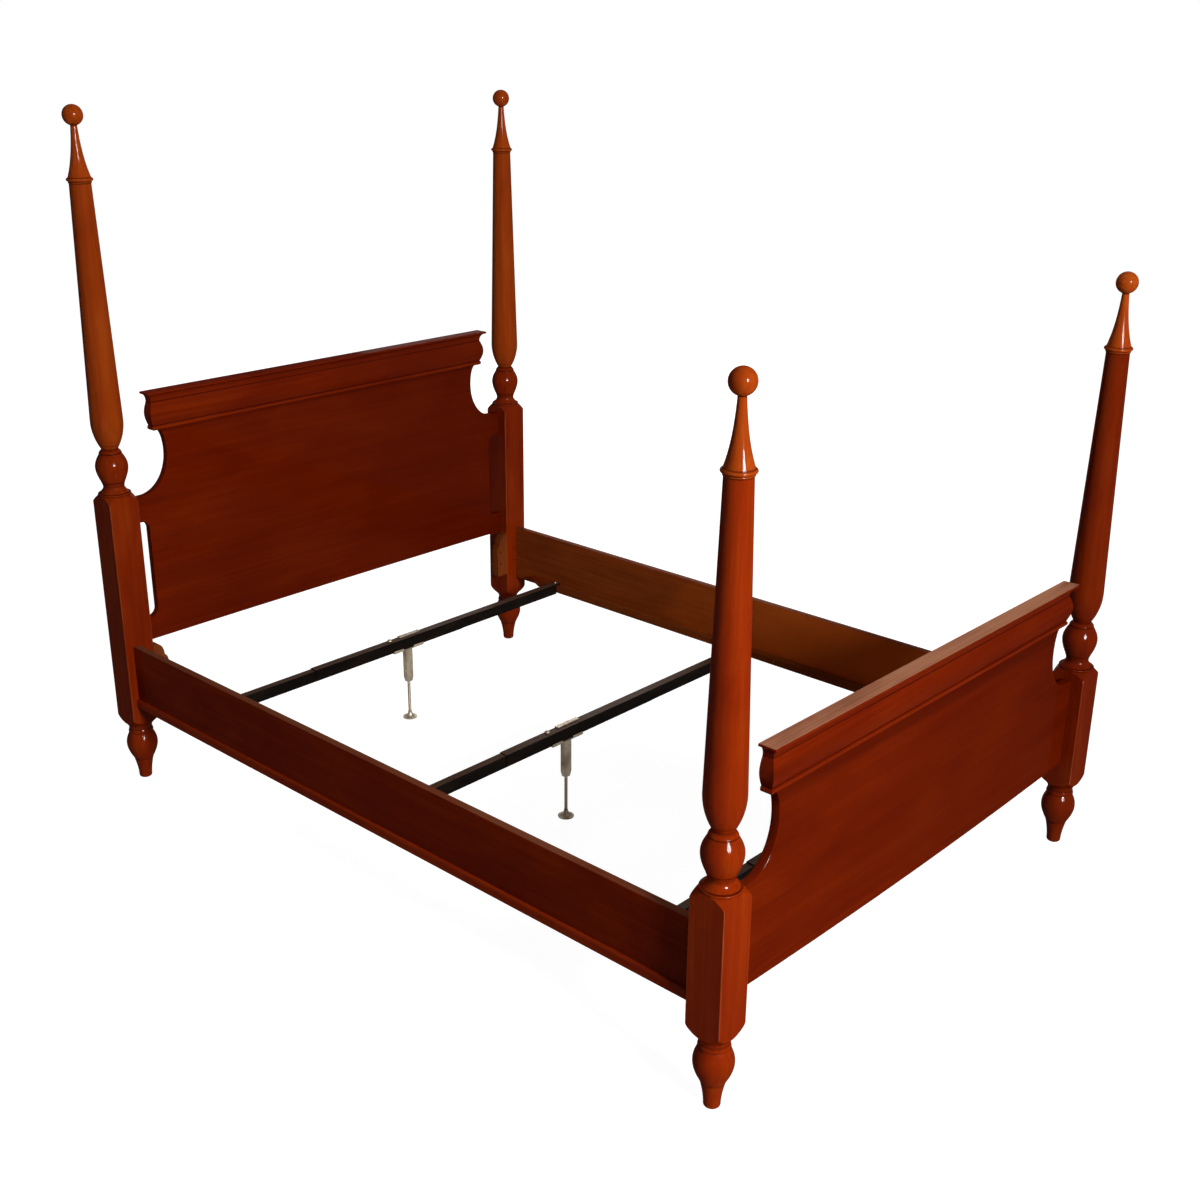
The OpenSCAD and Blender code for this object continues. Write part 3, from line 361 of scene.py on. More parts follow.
def raw_wood(name, axis, dark, light, stained_ends=None, painted_foot_light=None):
    """Wood without lacquer, duller and paler; stained_ends is the half length and colour of a smeared stain,
    and the foot colour is painted light, paler towards the foot of the bed to make up for the footboard's
    shade."""
    m = Finish(name)
    y = m.split(m.place)[1]
    mottle = m.noise(along(axis, 2.5, 9.0), (0.3, 0.1, 0.7), 3.0, 0.7)
    streaks = m.noise(along(axis, 4.0, 190.0), (0.3, 0.1, 0.7), 4.0)
    pores = m.noise(along(axis, 60.0, 900.0), (0.0, 0.4, 0.2), 2.0)
    base = m.blend(m.step(mottle * 0.55 + streaks * 0.45, 0.30, 0.68), dark, light)
    base = m.blend(m.step(pores, 0.56, 0.7) * 0.35, base, scaled(dark, 0.4))
    # Painted light: paler towards the foot of the bed, making up for the footboard's shade
    if painted_foot_light:
        base = m.blend(m.step(y * -1.0 + (mottle - 0.5) * 0.4, -0.5, 0.6, 0.0, 0.8), base, painted_foot_light)
    if stained_ends:
        half, tone = stained_ends
        stain = m.step(abs(y) + (mottle - 0.5) * 0.16, half, half + 0.10)
        base = m.blend(stain * 0.8, base, tone)
    return m.finish(base, 0.48 + streaks * 0.22, streaks + pores * 0.6, 0.25, 0.0002, specular=0.02)


def black_paint(name, paint):
    """Satin black paint on steel, scuffed brown along its length and dusty in patches; its upper faces are
    paler, dusty with a painted sheen.
    """
    m = Finish(name)
    rub = m.noise((9.0, 260.0, 260.0))
    dust = m.noise((7.0, 25.0, 25.0), (0.2, 0.5, 0.1), 4.0, 0.5)
    grit = m.noise((420.0, 420.0, 420.0), detail=2.0)
    base = m.blend(m.step(dust, 0.38, 0.75) * 0.5, paint, PAINT_STAIN)
    base = m.blend(m.step(rub, 0.60, 0.74) * 0.35, base, PAINT_RUB)
    # Upper faces paler: dusty, with a painted sheen
    base = m.blend(m.step(m.facing_up(), 0.70, 0.95) * (0.55 + (rub - 0.5) * 0.6), base, PAINT_DUST_AND_SHEEN)
    return m.finish(base, 0.40 + dust * 0.26, grit, 0.10, 0.0001, specular=0.01, coat=0.007,
                    coat_roughness=0.25, coat_ior=2.0)


def bare_steel(name, zinc):
    """Dull plated steel with handling stains and rolling marks."""
    m = Finish(name)
    marks = m.noise((60.0, 60.0, 900.0))
    patches = m.noise((34.0, 34.0, 20.0), (0.1, 0.7, 0.3), 4.0, 0.8)
    spots = m.noise((240.0, 240.0, 240.0), detail=2.0)
    base = m.blend(m.step(patches, 0.36, 0.72) * 0.75, zinc, STEEL_STAIN)
    base = m.blend(m.step(spots, 0.62, 0.75) * 0.35, base, STEEL_SPOT)
    return m.finish(base, 0.34 + patches * 0.30, marks, 0.14, 0.0001, metallic=0.7, specular=0.2)


# Outlines of the turnings in millimetres, as (radius, height)

SOLE_RADIUS, SOLE_ROUND = 18.8, 7.0
TAPER_LINE = (27.8, 64.0)
BULB = (45.0, 116.0)
FOOT_LINE, FOOT_CUSHION = 153.0, 36.0
FOOT_NECK = (33.0, 165.0)
BLOCK_RADIUS, LOWER_SHOULDER = 63.0, 46.0
UPPER_SHOULDER, RING_RADIUS, RING_ROUND, RING_HEIGHT, FLARE_HEIGHT = 21.0, 45.6, 2.4, 5.0, 16.0
WAIST_RADIUS, WAIST_HEIGHT = 29.2, 14.0
URN_LOW_RADIUS, URN_RADIUS, URN_SWELL, URN_TOP = 32.4, 45.0, 45.0, 51.0
URN_AIM, URN_AIM_HEIGHT, URN_LINE, URN_CUSHION = 24.5, 47.0, 38.5, 31.4
SCRIBE, LINE_WIDTH = 1.4, 2.0
COLLAR_RING, COLLAR_CORE, COLLAR_BEAD = 30.6, 29.4, 34.9
SPIRE_HEIGHT, SPIRE_FOOT, SPIRE_THIN, SPIRE_FALL = 137.5, 32.5, 4.0, 75.6
BALL_RADIUS, BALL_NECK_ANGLE = 27.0, -71.0
SHAFT_BASE = UPPER_SHOULDER + RING_HEIGHT + FLARE_HEIGHT + WAIST_HEIGHT + URN_SWELL + URN_TOP


def arc(x, y, rx, ry, a0, a1, n):
    """Points round (x, y) from one angle to another, in degrees."""
    return [(x + rx * math.cos(math.radians(a0 + (a1 - a0) * i / n)),
             y + ry * math.sin(math.radians(a0 + (a1 - a0) * i / n))) for i in range(n + 1)]


def apart(points):
    """The outline without points that fall on their neighbour."""
    kept = points[:1]
    for p in points[1:]:
        if math.dist(p, kept[-1]) > 0.02:
            kept.append(p)
    return kept


def sweep(n, start, end, shape, first=0):
    """Outline points that rise evenly from one height to another, with a shape for the radius' share."""
    (r0, z0), (r1, z1) = start, end
    return [(r0 + (r1 - r0) * shape(t), z0 + (z1 - z0) * t) for t in (i / n for i in range(first, n + 1))]


def rising(share):
    """The sine of a share of a right angle, from 0 up to 1."""
    return math.sin(math.pi / 2 * share)


def falling(share):
    """The cosine of a share of a right angle, from 1 down to 0."""
    return math.cos(math.pi / 2 * share)


def foot_outline():
    (r1, z1), (rb, zb), (rn, zn) = TAPER_LINE, BULB, FOOT_NECK
    out = [(0.0, 0.0)] + arc(SOLE_RADIUS - SOLE_ROUND, SOLE_ROUND, SOLE_ROUND, SOLE_ROUND, -90, 0, 10)
    out += sweep(16, (SOLE_RADIUS, SOLE_ROUND), TAPER_LINE, lambda t: t ** 1.7, 1)
    out += [(r1 - 0.8 * SCRIBE, z1 + 1.0)]
    out += sweep(28, (r1 + 0.4, z1 + LINE_WIDTH), BULB, rising)
    share = (FOOT_LINE - zb) / (zn - zb)
    out += sweep(20, (rn - 7.0, zb), (rb, FOOT_LINE), lambda t: falling(t * share), 1)
    out += sweep(10, (rn, FOOT_LINE + LINE_WIDTH), (FOOT_CUSHION, zn), lambda t: 1 - t ** 1.5)
    out += sweep(24, FOOT_NECK, (BLOCK_RADIUS, zn + LOWER_SHOULDER),
                 lambda t: (1 - math.cos(math.pi * t ** 1.2)) / 2, 1)
    return out + [(BLOCK_RADIUS + 3.0, zn + LOWER_SHOULDER + 2.0)]


def urn_outline(z, neck):
    core = RING_RADIUS - RING_ROUND
    out = [(BLOCK_RADIUS + 3.0, z - 2.0)]
    out += sweep(12, (BLOCK_RADIUS, z), (core + 0.8, z + UPPER_SHOULDER - 0.4), lambda t: t ** 1.3)
    z += UPPER_SHOULDER
    out += arc(core, z + RING_HEIGHT / 2, RING_ROUND, RING_HEIGHT / 2, -90, 90, 12)
    z += RING_HEIGHT
    out += sweep(16, (WAIST_RADIUS, z + 0.6), (core - 1.8 * SCRIBE, z + FLARE_HEIGHT),
                 lambda t: (1 - t) ** 1.5)
    z += FLARE_HEIGHT
    out += sweep(10, (WAIST_RADIUS, z), (URN_LOW_RADIUS, z + WAIST_HEIGHT), lambda t: t ** 2.4, 1)
    z += WAIST_HEIGHT
    out += [(URN_LOW_RADIUS - 1.1 * SCRIBE, z + 0.9)]
    out += sweep(24, (URN_LOW_RADIUS + 0.3, z + 1.8), (URN_RADIUS, z + URN_SWELL), rising)
    z += URN_SWELL
    under = URN_LINE - 0.7
    out += sweep(20, (URN_AIM, z), (URN_RADIUS, z + under), lambda t: falling(t * under / URN_AIM_HEIGHT), 1)
    out += [(URN_AIM + (URN_RADIUS - URN_AIM) * falling(h / URN_AIM_HEIGHT) - 1.5 * SCRIBE, z + h)
            for h in (URN_LINE + 0.2, URN_LINE + 0.9)]
    out += sweep(14, (neck, z + URN_LINE + 1.6), (URN_CUSHION, z + URN_TOP), lambda t: 1 - t ** 1.4)
    return out + [(0.0, z + URN_TOP)]


def finial_outline(z):
    rise = SPIRE_HEIGHT - 7.4
    out = [(0.0, z)] + arc(COLLAR_RING - 1.6, z + 2.2, 1.6, 2.2, -90, 90, 8)
    out += arc(COLLAR_CORE, z + 9.6, COLLAR_BEAD - COLLAR_CORE, 4.8, -90, 80, 16)
    out += sweep(48, (SPIRE_THIN, z + 14.4), (SPIRE_FOOT, z + 14.4 + rise),
                 lambda t: math.exp(-(6.4 + rise * t) / SPIRE_FALL))
    ball_z = z + 8.0 + SPIRE_HEIGHT + BALL_RADIUS - 2.0
    ball = arc(0.0, ball_z, BALL_RADIUS, BALL_RADIUS, BALL_NECK_ANGLE, 90, 40)
    return out + ball[:-1] + [(0.0, ball_z + BALL_RADIUS)]


# The finishes, whose lines of gathered stain and painted shade follow the mouldings' heights

CAP_HEIGHT, FRIEZE_HEIGHT, BEAD_HEIGHT = 31.0, 68.0, 14.0
CAP_OUT, LIP_HEIGHT, FRIEZE_OUT, FRIEZE_BULGE, BEAD_OUT = 22.0, 6.0, 5.0, 9.0, 8.0
FINISHES = {}


def in_metres(marks):
    return [(height * MM, half * MM, strength) for height, half, strength in marks]


def stain_and_shade_lines(block_top, shaft_length):
    """Heights where the stain has gathered and shade is painted in grooves and necks, as (height, half width,
    strength).
    """
    ring = block_top + UPPER_SHOULDER
    waist = ring + RING_HEIGHT + FLARE_HEIGHT + WAIST_HEIGHT
    shaft = block_top + SHAFT_BASE
    collar = shaft + shaft_length
    return in_metres([
        (TAPER_LINE[1] + 1.0, 1.5, 0.6), (FOOT_LINE + 1.2, 1.8, 0.75), (FOOT_NECK[1] + 1.0, 3.5, 0.45),
        (ring - 0.5, 1.0, 0.3), (ring + RING_HEIGHT + 0.6, 1.0, 0.7), (waist - 8.0, 5.0, 0.3),
        (waist + 0.9, 1.6, 0.7), (waist + URN_SWELL + URN_LINE + 0.7, 1.7, 0.85), (shaft, 3.5, 0.45),
        (shaft + 12.0, 1.4, 0.6), (collar, 1.8, 0.7), (collar + 4.6, 1.2, 0.7), (collar + 14.6, 1.6, 0.6),
        (collar + 8.0 + SPIRE_HEIGHT, 2.6, 0.7)])


def crown_lines(top):
    """Lines of gathered stain and painted shade between a crown's mouldings, and its painted highlights along
    the lip and the bead.
    """
    frieze, bead = top - CAP_HEIGHT, top - CAP_HEIGHT - FRIEZE_HEIGHT
    return (in_metres([(frieze + 0.5, 1.6, 0.75), (bead, 1.5, 0.7), (bead - BEAD_HEIGHT - 1.0, 2.0, 0.5)]),
            in_metres([(top - LIP_HEIGHT - 0.5, 1.3, 0.5), (bead - BEAD_HEIGHT / 2, 2.2, 0.28)]))


def finish_table(scene):
    """Each finish's maker by its name, with the colours in the scene's properties."""
    c, p = scene.bed_colours, scene.bed_posts

    def cherry(axis, kind, by, shift, **more):
        tones = [scaled(getattr(c, f"{kind}_{shade}"), by) for shade in ("dark", "mid", "light")]
        return partial(cherry_wood, axis=axis, tones=tones, shift=shift, **more)

    arrises = (p.span_x / 2, p.span_y / 2, p.block_side / 2 - 0.001)
    low_lines, high_lines = (stain_and_shade_lines(top / MM, p.shaft_length / MM)
                             for top in (p.foot_block_top, p.head_block_top))
    table = {
        "cherry_foot_posts": cherry(2, "post", 1.0, (0.13, 0.41, 0.0), arrises=arrises, lines=low_lines),
        "cherry_foot_post_right": cherry(2, "post", 0.60, (0.33, 0.21, 0.6), arrises=arrises,
                                         lines=low_lines),
        "cherry_head_blocks": cherry(2, "post", 0.82, (0.43, 0.11, 0.3), arrises=arrises, lines=high_lines),
        "cherry_foot_finials": cherry(2, "old", 1.15, (0.7, 0.5, 0.2), figure=0.8, lines=low_lines),
        "cherry_head_finials": cherry(2, "old", 1.15, (0.2, 0.9, 0.4), figure=0.8, lines=high_lines),
        "cherry_head_posts": cherry(2, "old", 1.0, (0.43, 0.11, 0.3), lines=high_lines),
        "cherry_moulding": cherry(1, "post", 1.0, (0.2, 0.6, 0.1), figure=0.6),
        # The rails' upper faces: dusty, with a painted sheen
        "cherry_along": cherry(1, "board", 1.25, (0.5, 0.0, 0.33), figure=0.9, dust=(RAIL_DUST_AND_SHEEN, 0.0),
                               coat=0.008),
        # Rail insides: painted light, paler towards the foot of the bed
        "rail_inside": partial(raw_wood, axis=1, dark=scaled(c.inside, 0.55), light=c.inside,
                               painted_foot_light=tuple(min(1.0, 2.2 * t) for t in c.inside)),
        "ledger_wood": partial(raw_wood, axis=1, dark=c.raw_dark, light=c.raw_wood,
                               stained_ends=(0.83, c.board_mid)),
        "block_wood": partial(raw_wood, axis=2, dark=c.raw_dark, light=c.raw_wood),
        "black_paint": partial(black_paint, paint=c.black_paint),
        "bare_steel": partial(bare_steel, zinc=c.zinc),
    }
    for board, sy, top in boards_of(p):
        rise = top + scene.bed_boards.crown_rise
        shift = 0.77 if sy > 0 else 0.0
        lines, rubs = crown_lines(rise / MM)
        low = lines[-1][0]
        # Each panel: painted shade in a band under the crown's bead, and painted shade darkening towards +x
        table[f"cherry_{board}"] = cherry(
            0, "board", 1.0, (shift, 0.77, 0.21), figure=0.7, fade=0.42, coat=0.008,
            lines=[(low - 0.016, 0.020, 0.35) if sy < 0 else (low - 0.004, 0.005, 0.3)])
        # Each crown: stain and painted shade between mouldings, painted highlights on lip and bead, painted
        # shade towards +x; the footboard's cap top dusty with a painted sheen
        table[f"cherry_{board}_crown"] = cherry(
            0, "board", 1.1, (shift, 0.17, 0.51), figure=0.8, fade=0.3, coat=0.012, lines=lines, rubs=rubs,
            dust=(tuple(c.dust), rise - 0.003) if sy < 0 else None)
    return table


def finish_of(name):
    """Each finish is made once."""
    if name not in FINISHES:
        FINISHES[name] = finish_table(bpy.context.scene)[name](name)
    return FINISHES[name]


def post_finish(sx, sy):
    """The head posts are a little more orange than the foot posts, and the right foot post is darker."""
    if sy > 0:
        return "cherry_head_posts"
    return "cherry_foot_post_right" if sx > 0 else "cherry_foot_posts"


# Meshes; a shape is its vertices and faces, in millimetres

def lathe(profile, segments):
    """A closed turning from (radius, height) points, both ends on the axis."""
    verts, rows, faces = [], [], []
    for r, z in apart(profile):
        if r < 1e-6:
            rows.append([len(verts)])
            verts.append((0.0, 0.0, z))
        else:
            rows.append(list(range(len(verts), len(verts) + segments)))
            verts += [(r * math.cos(2 * math.pi * i / segments), r * math.sin(2 * math.pi * i / segments), z)
                      for i in range(segments)]
    for low, high in zip(rows, rows[1:]):
        for i in range(segments):
            j = (i + 1) % segments
            if len(low) == 1:
                faces.append((low[0], high[j], high[i]))
            elif len(high) == 1:
                faces.append((low[i], low[j], high[0]))
            else:
                faces.append((low[i], low[j], high[j], high[i]))
    return verts, faces


def prism(outline, axis, low, high):
    """An outline run between two heights along an axis; the outline's own axes are the other two."""
    n = len(outline)
    verts = [(*p[:axis], height, *p[axis:]) for height in (low, high) for p in outline]
    faces = [tuple(range(n)), tuple(range(2 * n - 1, n - 1, -1))]
    faces += [(i, i + n, (i + 1) % n + n, (i + 1) % n) for i in range(n)]
    return verts, faces


def box_shape(low, high):
    (x0, y0, z0), (x1, y1, z1) = low, high
    return prism([(x0, y0), (x1, y0), (x1, y1), (x0, y1)], 2, z0, z1)


def placed(shape, move=(0, 0, 0), flip_x=False):
    """A shape moved, or flipped to the other side of the bed."""
    verts, faces = shape
    return [((-x if flip_x else x) + move[0], y + move[1], z + move[2]) for x, y, z in verts], faces


def rounded_square(half, radius):
    return [p for sx, sy, a in ((1, 1, 0), (-1, 1, 90), (-1, -1, 180), (1, -1, 270))
            for p in arc(sx * (half - radius), sy * (half - radius), radius, radius, a, a + 90, 5)]


def link(name, mesh):
    obj = bpy.data.objects.new(name, mesh)
    bpy.context.scene.collection.objects.link(obj)
    return obj


@contextmanager
def edited(mesh):
    """A mesh opened for editing, with the vertices that coincide made one."""
    bm = bmesh.new()
    bm.from_mesh(mesh)
    bmesh.ops.remove_doubles(bm, verts=bm.verts, dist=1e-6)
    yield bm
    bm.to_mesh(mesh)
    bm.free()


def make_object(name, shape):
    """An object at the origin with its place in its mesh, faces outwards."""
    verts, faces = shape
    mesh = bpy.data.meshes.new(name)
    mesh.from_pydata([scaled(v, MM) for v in verts], [], faces)
    with edited(mesh) as bm:
        bmesh.ops.recalc_face_normals(bm, faces=bm.faces)
    return link(name, mesh)


def settle(obj):
    """Turns what the modifiers make into the object's own plain mesh."""
    depsgraph = bpy.context.evaluated_depsgraph_get()
    depsgraph.update()
    mesh = bpy.data.meshes.new_from_object(obj.evaluated_get(depsgraph), depsgraph=depsgraph)
    if not mesh.polygons:
        raise RuntimeError(f"{obj.name} came out empty")
    old = obj.data
    obj.modifiers.clear()
    obj.data = mesh
    mesh.name = obj.name
    if old.users == 0:
        bpy.data.meshes.remove(old)
    return obj


def cut(obj, cutters, operation="DIFFERENCE"):
    """Applies an exact boolean with each cutter and removes the cutters."""
    for cutter in cutters:
        change = obj.modifiers.new("cut", "BOOLEAN")
        change.operation = operation
        change.solver = "EXACT"
        change.object = cutter
    settle(obj)
    for cutter in cutters:
        bpy.data.objects.remove(cutter, do_unlink=True)
    return obj


def ease(obj, width, segments, angle):
    """Rounds the edges sharper than an angle by a width in metres."""
    change = obj.modifiers.new("ease", "BEVEL")
    change.width = width
    change.segments = segments
    change.limit_method = "ANGLE"
    change.angle_limit = math.radians(angle)
    change.use_clamp_overlap = True
    return settle(obj)


def smooth(obj, angle):
    """Smooth shading up to an angle, with the large faces that lie along an axis left flat."""
    mesh = obj.data
    mesh.polygons.foreach_set("use_smooth", [True] * len(mesh.polygons))
    mesh.set_sharp_from_angle(angle=math.radians(angle))
    for face in mesh.polygons:
        if face.area > 2e-5 and max(abs(c) for c in face.normal) > 0.99995:
            face.use_smooth = False
    mesh.update()
    return obj


def hand_over(obj, finish, *nodes, angle=26.0, body=BODY):
    """Gives a finished piece its shading, material and body, and hides the nodes that it stands for."""
    if angle:
        smooth(obj, angle)
    obj.data.materials.clear()
    obj.data.materials.append(finish_of(finish))
    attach(obj, body)
    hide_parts(*nodes)
    return obj


def posts_of(p):
    """Each post's end, side and signs, its centre in millimetres and its block's top in metres."""
    for end, sy, top in (("head", 1, p.head_block_top), ("foot", -1, p.foot_block_top)):
        for side, sx in (("left", -1), ("right", 1)):
            yield end, side, sx, sy, (sx * p.span_x / 2 / MM, sy * p.span_y / 2 / MM, 0), top


def boards_of(p):
    """Each board, its side of the bed and its posts' block top in metres."""
    return ("headboard", 1, p.head_block_top), ("footboard", -1, p.foot_block_top)


# Operators: one for each piece or group of like pieces

BOLT_RADIUS, BOLT_HEIGHTS = 4.0, (321.0, 365.0)
POST_BOLT_X, BLOCK_BOLT_X = 760.0, 693.0


def bolt_bores(x, y, half):
    """Cutters along y for a pair of bolt holes."""
    verts, faces = lathe([(0, -half), (BOLT_RADIUS, -half), (BOLT_RADIUS, half), (0, half)], 32)
    lying = [(a, -c, b) for a, b, c in verts], faces
    return [make_object("bore", placed(lying, (x, y, z))) for z in BOLT_HEIGHTS]


class BED_OT_lower_posts(bpy.types.Operator):
    """Turn the four lower posts, each from foot to urn round its square block"""
    bl_idname = "bed.lower_posts"
    bl_label = "Lower posts"

    def execute(self, context):
        p = context.scene.bed_posts
        for end, side, sx, sy, place, block_top in posts_of(p):
            top = block_top / MM
            turning = lathe(foot_outline() + urn_outline(top, p.shaft_neck_radius / MM), p.segments)
            post = make_object(f"turned_{end}_post_{side}", placed(turning, place))
            square = prism(rounded_square(p.block_side / 2 / MM, p.arris / MM), 2, -20.0, top + 400.0)
            cut(post, [make_object("square", placed(square, place))], "INTERSECT")
            cut(post, bolt_bores(sx * POST_BOLT_X, place[1], 60) if sy > 0 else [])
            finish = "cherry_head_blocks" if sy > 0 else post_finish(sx, sy)
            hand_over(post, finish, f"{end}_post_{side}")
        return {"FINISHED"}


class BED_OT_shafts(bpy.types.Operator):
    """Turn the four tapered shafts from a rule that gives the radius at each height"""
    bl_idname = "bed.shafts"
    bl_label = "Tapered shafts"

    @staticmethod
    def tree(material):
        floats = ("Length", "Foot height", "Neck radius", "Largest radius", "Top radius")
        g, size = piece_tree("tapered_shaft", *((name, "Float") for name in floats), ("Segments", "Int"),
                             ("Place", "Vector"))
        end = g.add("ShaderNodeCombineXYZ", {2: size["Length"]})
        line = g.add("GeometryNodeCurvePrimitiveLine", {"End": end})
        fine = g.add("GeometryNodeResampleCurve", {"Curve": line, "Count": 240})
        height = g.split(g.add("GeometryNodeInputPosition"))[2]
        swell = size["Largest radius"] - size["Neck radius"]
        foot = size["Foot height"]
        bend = (foot * foot + swell * swell) / (swell * 2.0)
        below = (foot - height).math("MAXIMUM", 0.0)
        rounded = size["Largest radius"] - bend + (bend * bend - below * below).math("SQRT")
        rise = ((height - foot) / (size["Length"] - foot)).math("MAXIMUM", 0.0)
        radius = rounded - rise * (size["Largest radius"] - size["Top radius"])
        ring = g.add("GeometryNodeCurvePrimitiveCircle", {"Resolution": size["Segments"], "Radius": 1.0})
        skin = g.add("GeometryNodeCurveToMesh",
                     {"Curve": fine, "Profile Curve": ring, "Scale": radius, "Fill Caps": True})
        moved = g.add("GeometryNodeTransform", {"Geometry": skin, "Translation": size["Place"]})
        return end_tree(g, moved, material)

    def execute(self, context):
        p = context.scene.bed_posts
        tree = self.tree(finish_of("cherry_head_posts"))
        sizes = {"Length": p.shaft_length, "Foot height": p.shaft_foot, "Neck radius": p.shaft_neck_radius,
                 "Largest radius": p.shaft_radius, "Top radius": p.shaft_top_radius, "Segments": p.segments}
        for end, side, sx, sy, _, block_top in posts_of(p):
            sizes["Place"] = (sx * p.span_x / 2, sy * p.span_y / 2, block_top + SHAFT_BASE * MM)
            shaft = grown(make_object(f"tapered_{end}_shaft_{side}", ([], [])), tree, sizes)
            hand_over(shaft, post_finish(sx, sy), f"{end}_shaft_{side}", angle=40.0)
        return {"FINISHED"}


class BED_OT_finials(bpy.types.Operator):
    """Turn the four finials, each with a collar, a hollow spire and a ball"""
    bl_idname = "bed.finials"
    bl_label = "Finials"

    def execute(self, context):
        p = context.scene.bed_posts
        for end, side, _, _, place, block_top in posts_of(p):
            z = (block_top + p.shaft_length) / MM + SHAFT_BASE
            turning = placed(lathe(finial_outline(z), p.segments), place)
            finial = make_object(f"spire_{end}_finial_{side}", turning)
            hand_over(finial, f"cherry_{end}_finials", f"{end}_finial_{side}", angle=32.0)
        return {"FINISHED"}


EAR_WIDTH, EAR_DROP, SCROLL_WIDTH, SCROLL_HEIGHT, SCROLL_BACK = 35.0, 3.0, 93.0, 117.0, 23.0
CROWN_INSET = 93.0
SLOT_WIDTH, SLOT_LOW, SLOT_HEIGHT, SLOT_ROUND = 48.0, 70.0, 292.0, 24.0
HEADBOARD_LOW, HEADBOARD_SAG, FOOTBOARD_LOW, FOOTBOARD_SAG = 430.0, -3.0, 260.0, 13.0


def board_half(low, block_top, post_x, crown_rise, sag, slotted):
    """Right half of a board's outline, from the middle of its lower edge to its top, as (x, z)."""
    ear_z = block_top - EAR_DROP
    scroll_z = ear_z + SCROLL_HEIGHT
    bead_z = block_top + crown_rise - CAP_HEIGHT - FRIEZE_HEIGHT - BEAD_HEIGHT
    deep_x = post_x - EAR_WIDTH - SCROLL_WIDTH
    out = [(post_x * t, low - sag * (1 - t * t)) for t in (i / 24 for i in range(25))]
    if slotted:
        x, z0 = post_x - SLOT_WIDTH, low + SLOT_LOW
        out.append((post_x, z0))
        out += arc(x + SLOT_ROUND, z0 + SLOT_ROUND, SLOT_ROUND, SLOT_ROUND, 270, 180, 12)
        out += arc(x + SLOT_ROUND, z0 + SLOT_HEIGHT - SLOT_ROUND, SLOT_ROUND, SLOT_ROUND, 180, 90, 12)
        out.append((post_x, z0 + SLOT_HEIGHT))
    out.append((post_x, ear_z))
    out += arc(post_x - EAR_WIDTH, scroll_z, SCROLL_WIDTH, SCROLL_HEIGHT, -90, -180, 40)
    out += arc(deep_x + SCROLL_BACK, scroll_z, SCROLL_BACK, bead_z - scroll_z, 180, 90, 20)
    crown_x = post_x - CROWN_INSET
    return apart(out + [(crown_x, bead_z), (crown_x, block_top + crown_rise - CAP_HEIGHT)])


class BED_OT_boards(bpy.types.Operator):
    """Cut the headboard and footboard panels with their scrolled shoulders"""
    bl_idname = "bed.boards"
    bl_label = "Head and foot panels"

    def execute(self, context):
        p, b = context.scene.bed_posts, context.scene.bed_boards
        post_x = p.inner()[0]
        half_y = p.span_y / 2 / MM
        half_t = b.thickness / 2 / MM
        for board, sy, block_top in boards_of(p):
            low, sag = (HEADBOARD_LOW, HEADBOARD_SAG) if sy > 0 else (FOOTBOARD_LOW, FOOTBOARD_SAG)
            half = board_half(low, block_top / MM, post_x, b.crown_rise / MM, sag, sy > 0)
            outline = half + [(-x, z) for x, z in reversed(half[1:])]
            y = sy * half_y
            panel = make_object(f"sawn_{board}_panel", prism(outline, 1, y - half_t, y + half_t))
            hand_over(ease(panel, b.eased_edge, 3, 50.0), f"cherry_{board}", f"{board}_panel")
        return {"FINISHED"}


def cap_outline():
    out = [(CAP_OUT - 2.6, 0.0)] + arc(CAP_OUT - 2.6, -2.4, 2.6, 2.4, 90, 0, 5)
    out += arc(CAP_OUT - 1.5, -LIP_HEIGHT + 1.0, 1.5, 1.5, 0, -80, 4)
    hollow = CAP_OUT - 2.6 - FRIEZE_OUT
    out += arc(CAP_OUT - 2.6, -CAP_HEIGHT + 2.0, hollow, CAP_HEIGHT - 3.0 - LIP_HEIGHT, 90, 180, 18)
    return out + [(FRIEZE_OUT, -CAP_HEIGHT)]


def frieze_outline():
    return sweep(32, (FRIEZE_OUT, -CAP_HEIGHT), (FRIEZE_OUT + FRIEZE_BULGE, -CAP_HEIGHT - FRIEZE_HEIGHT),
                 lambda t: math.sin(math.pi * t))


def bead_outline():
    z = -CAP_HEIGHT - FRIEZE_HEIGHT - BEAD_HEIGHT / 2
    return [(2.0, z + BEAD_HEIGHT / 2)] + arc(2.0, z, BEAD_OUT - 2.0, BEAD_HEIGHT / 2, 84, -84, 20) + [
        (2.0, z - BEAD_HEIGHT / 2)]


def returned(outline, crown_x, front_y, back_y, hollow):
    """A moulding along the front that returns round both ends; hollow leaves room for the panel."""
    section = list(outline)
    if hollow:
        section += [(0.0, outline[-1][1]), (0.0, outline[0][1])]
    n = len(section)
    verts = [(side * (crown_x + p), back_y if at_back else front_y - p, z)
             for side, at_back in ((-1, True), (-1, False), (1, False), (1, True)) for p, z in section]
    faces = [(s + i, s + n + i, s + n + (i + 1) % n, s + (i + 1) % n)
             for s in (0, n, 2 * n) for i in range(n if hollow else n - 1)]
    if hollow:
        faces += [tuple(range(n)), tuple(range(4 * n - 1, 3 * n - 1, -1))]
    else:
        faces += [(0, n, 2 * n, 3 * n), (n - 1, 2 * n - 1, 3 * n - 1, 4 * n - 1)]
        faces.append(tuple(range(n)) + tuple(range(4 * n - 1, 3 * n - 1, -1)))
    return verts, faces


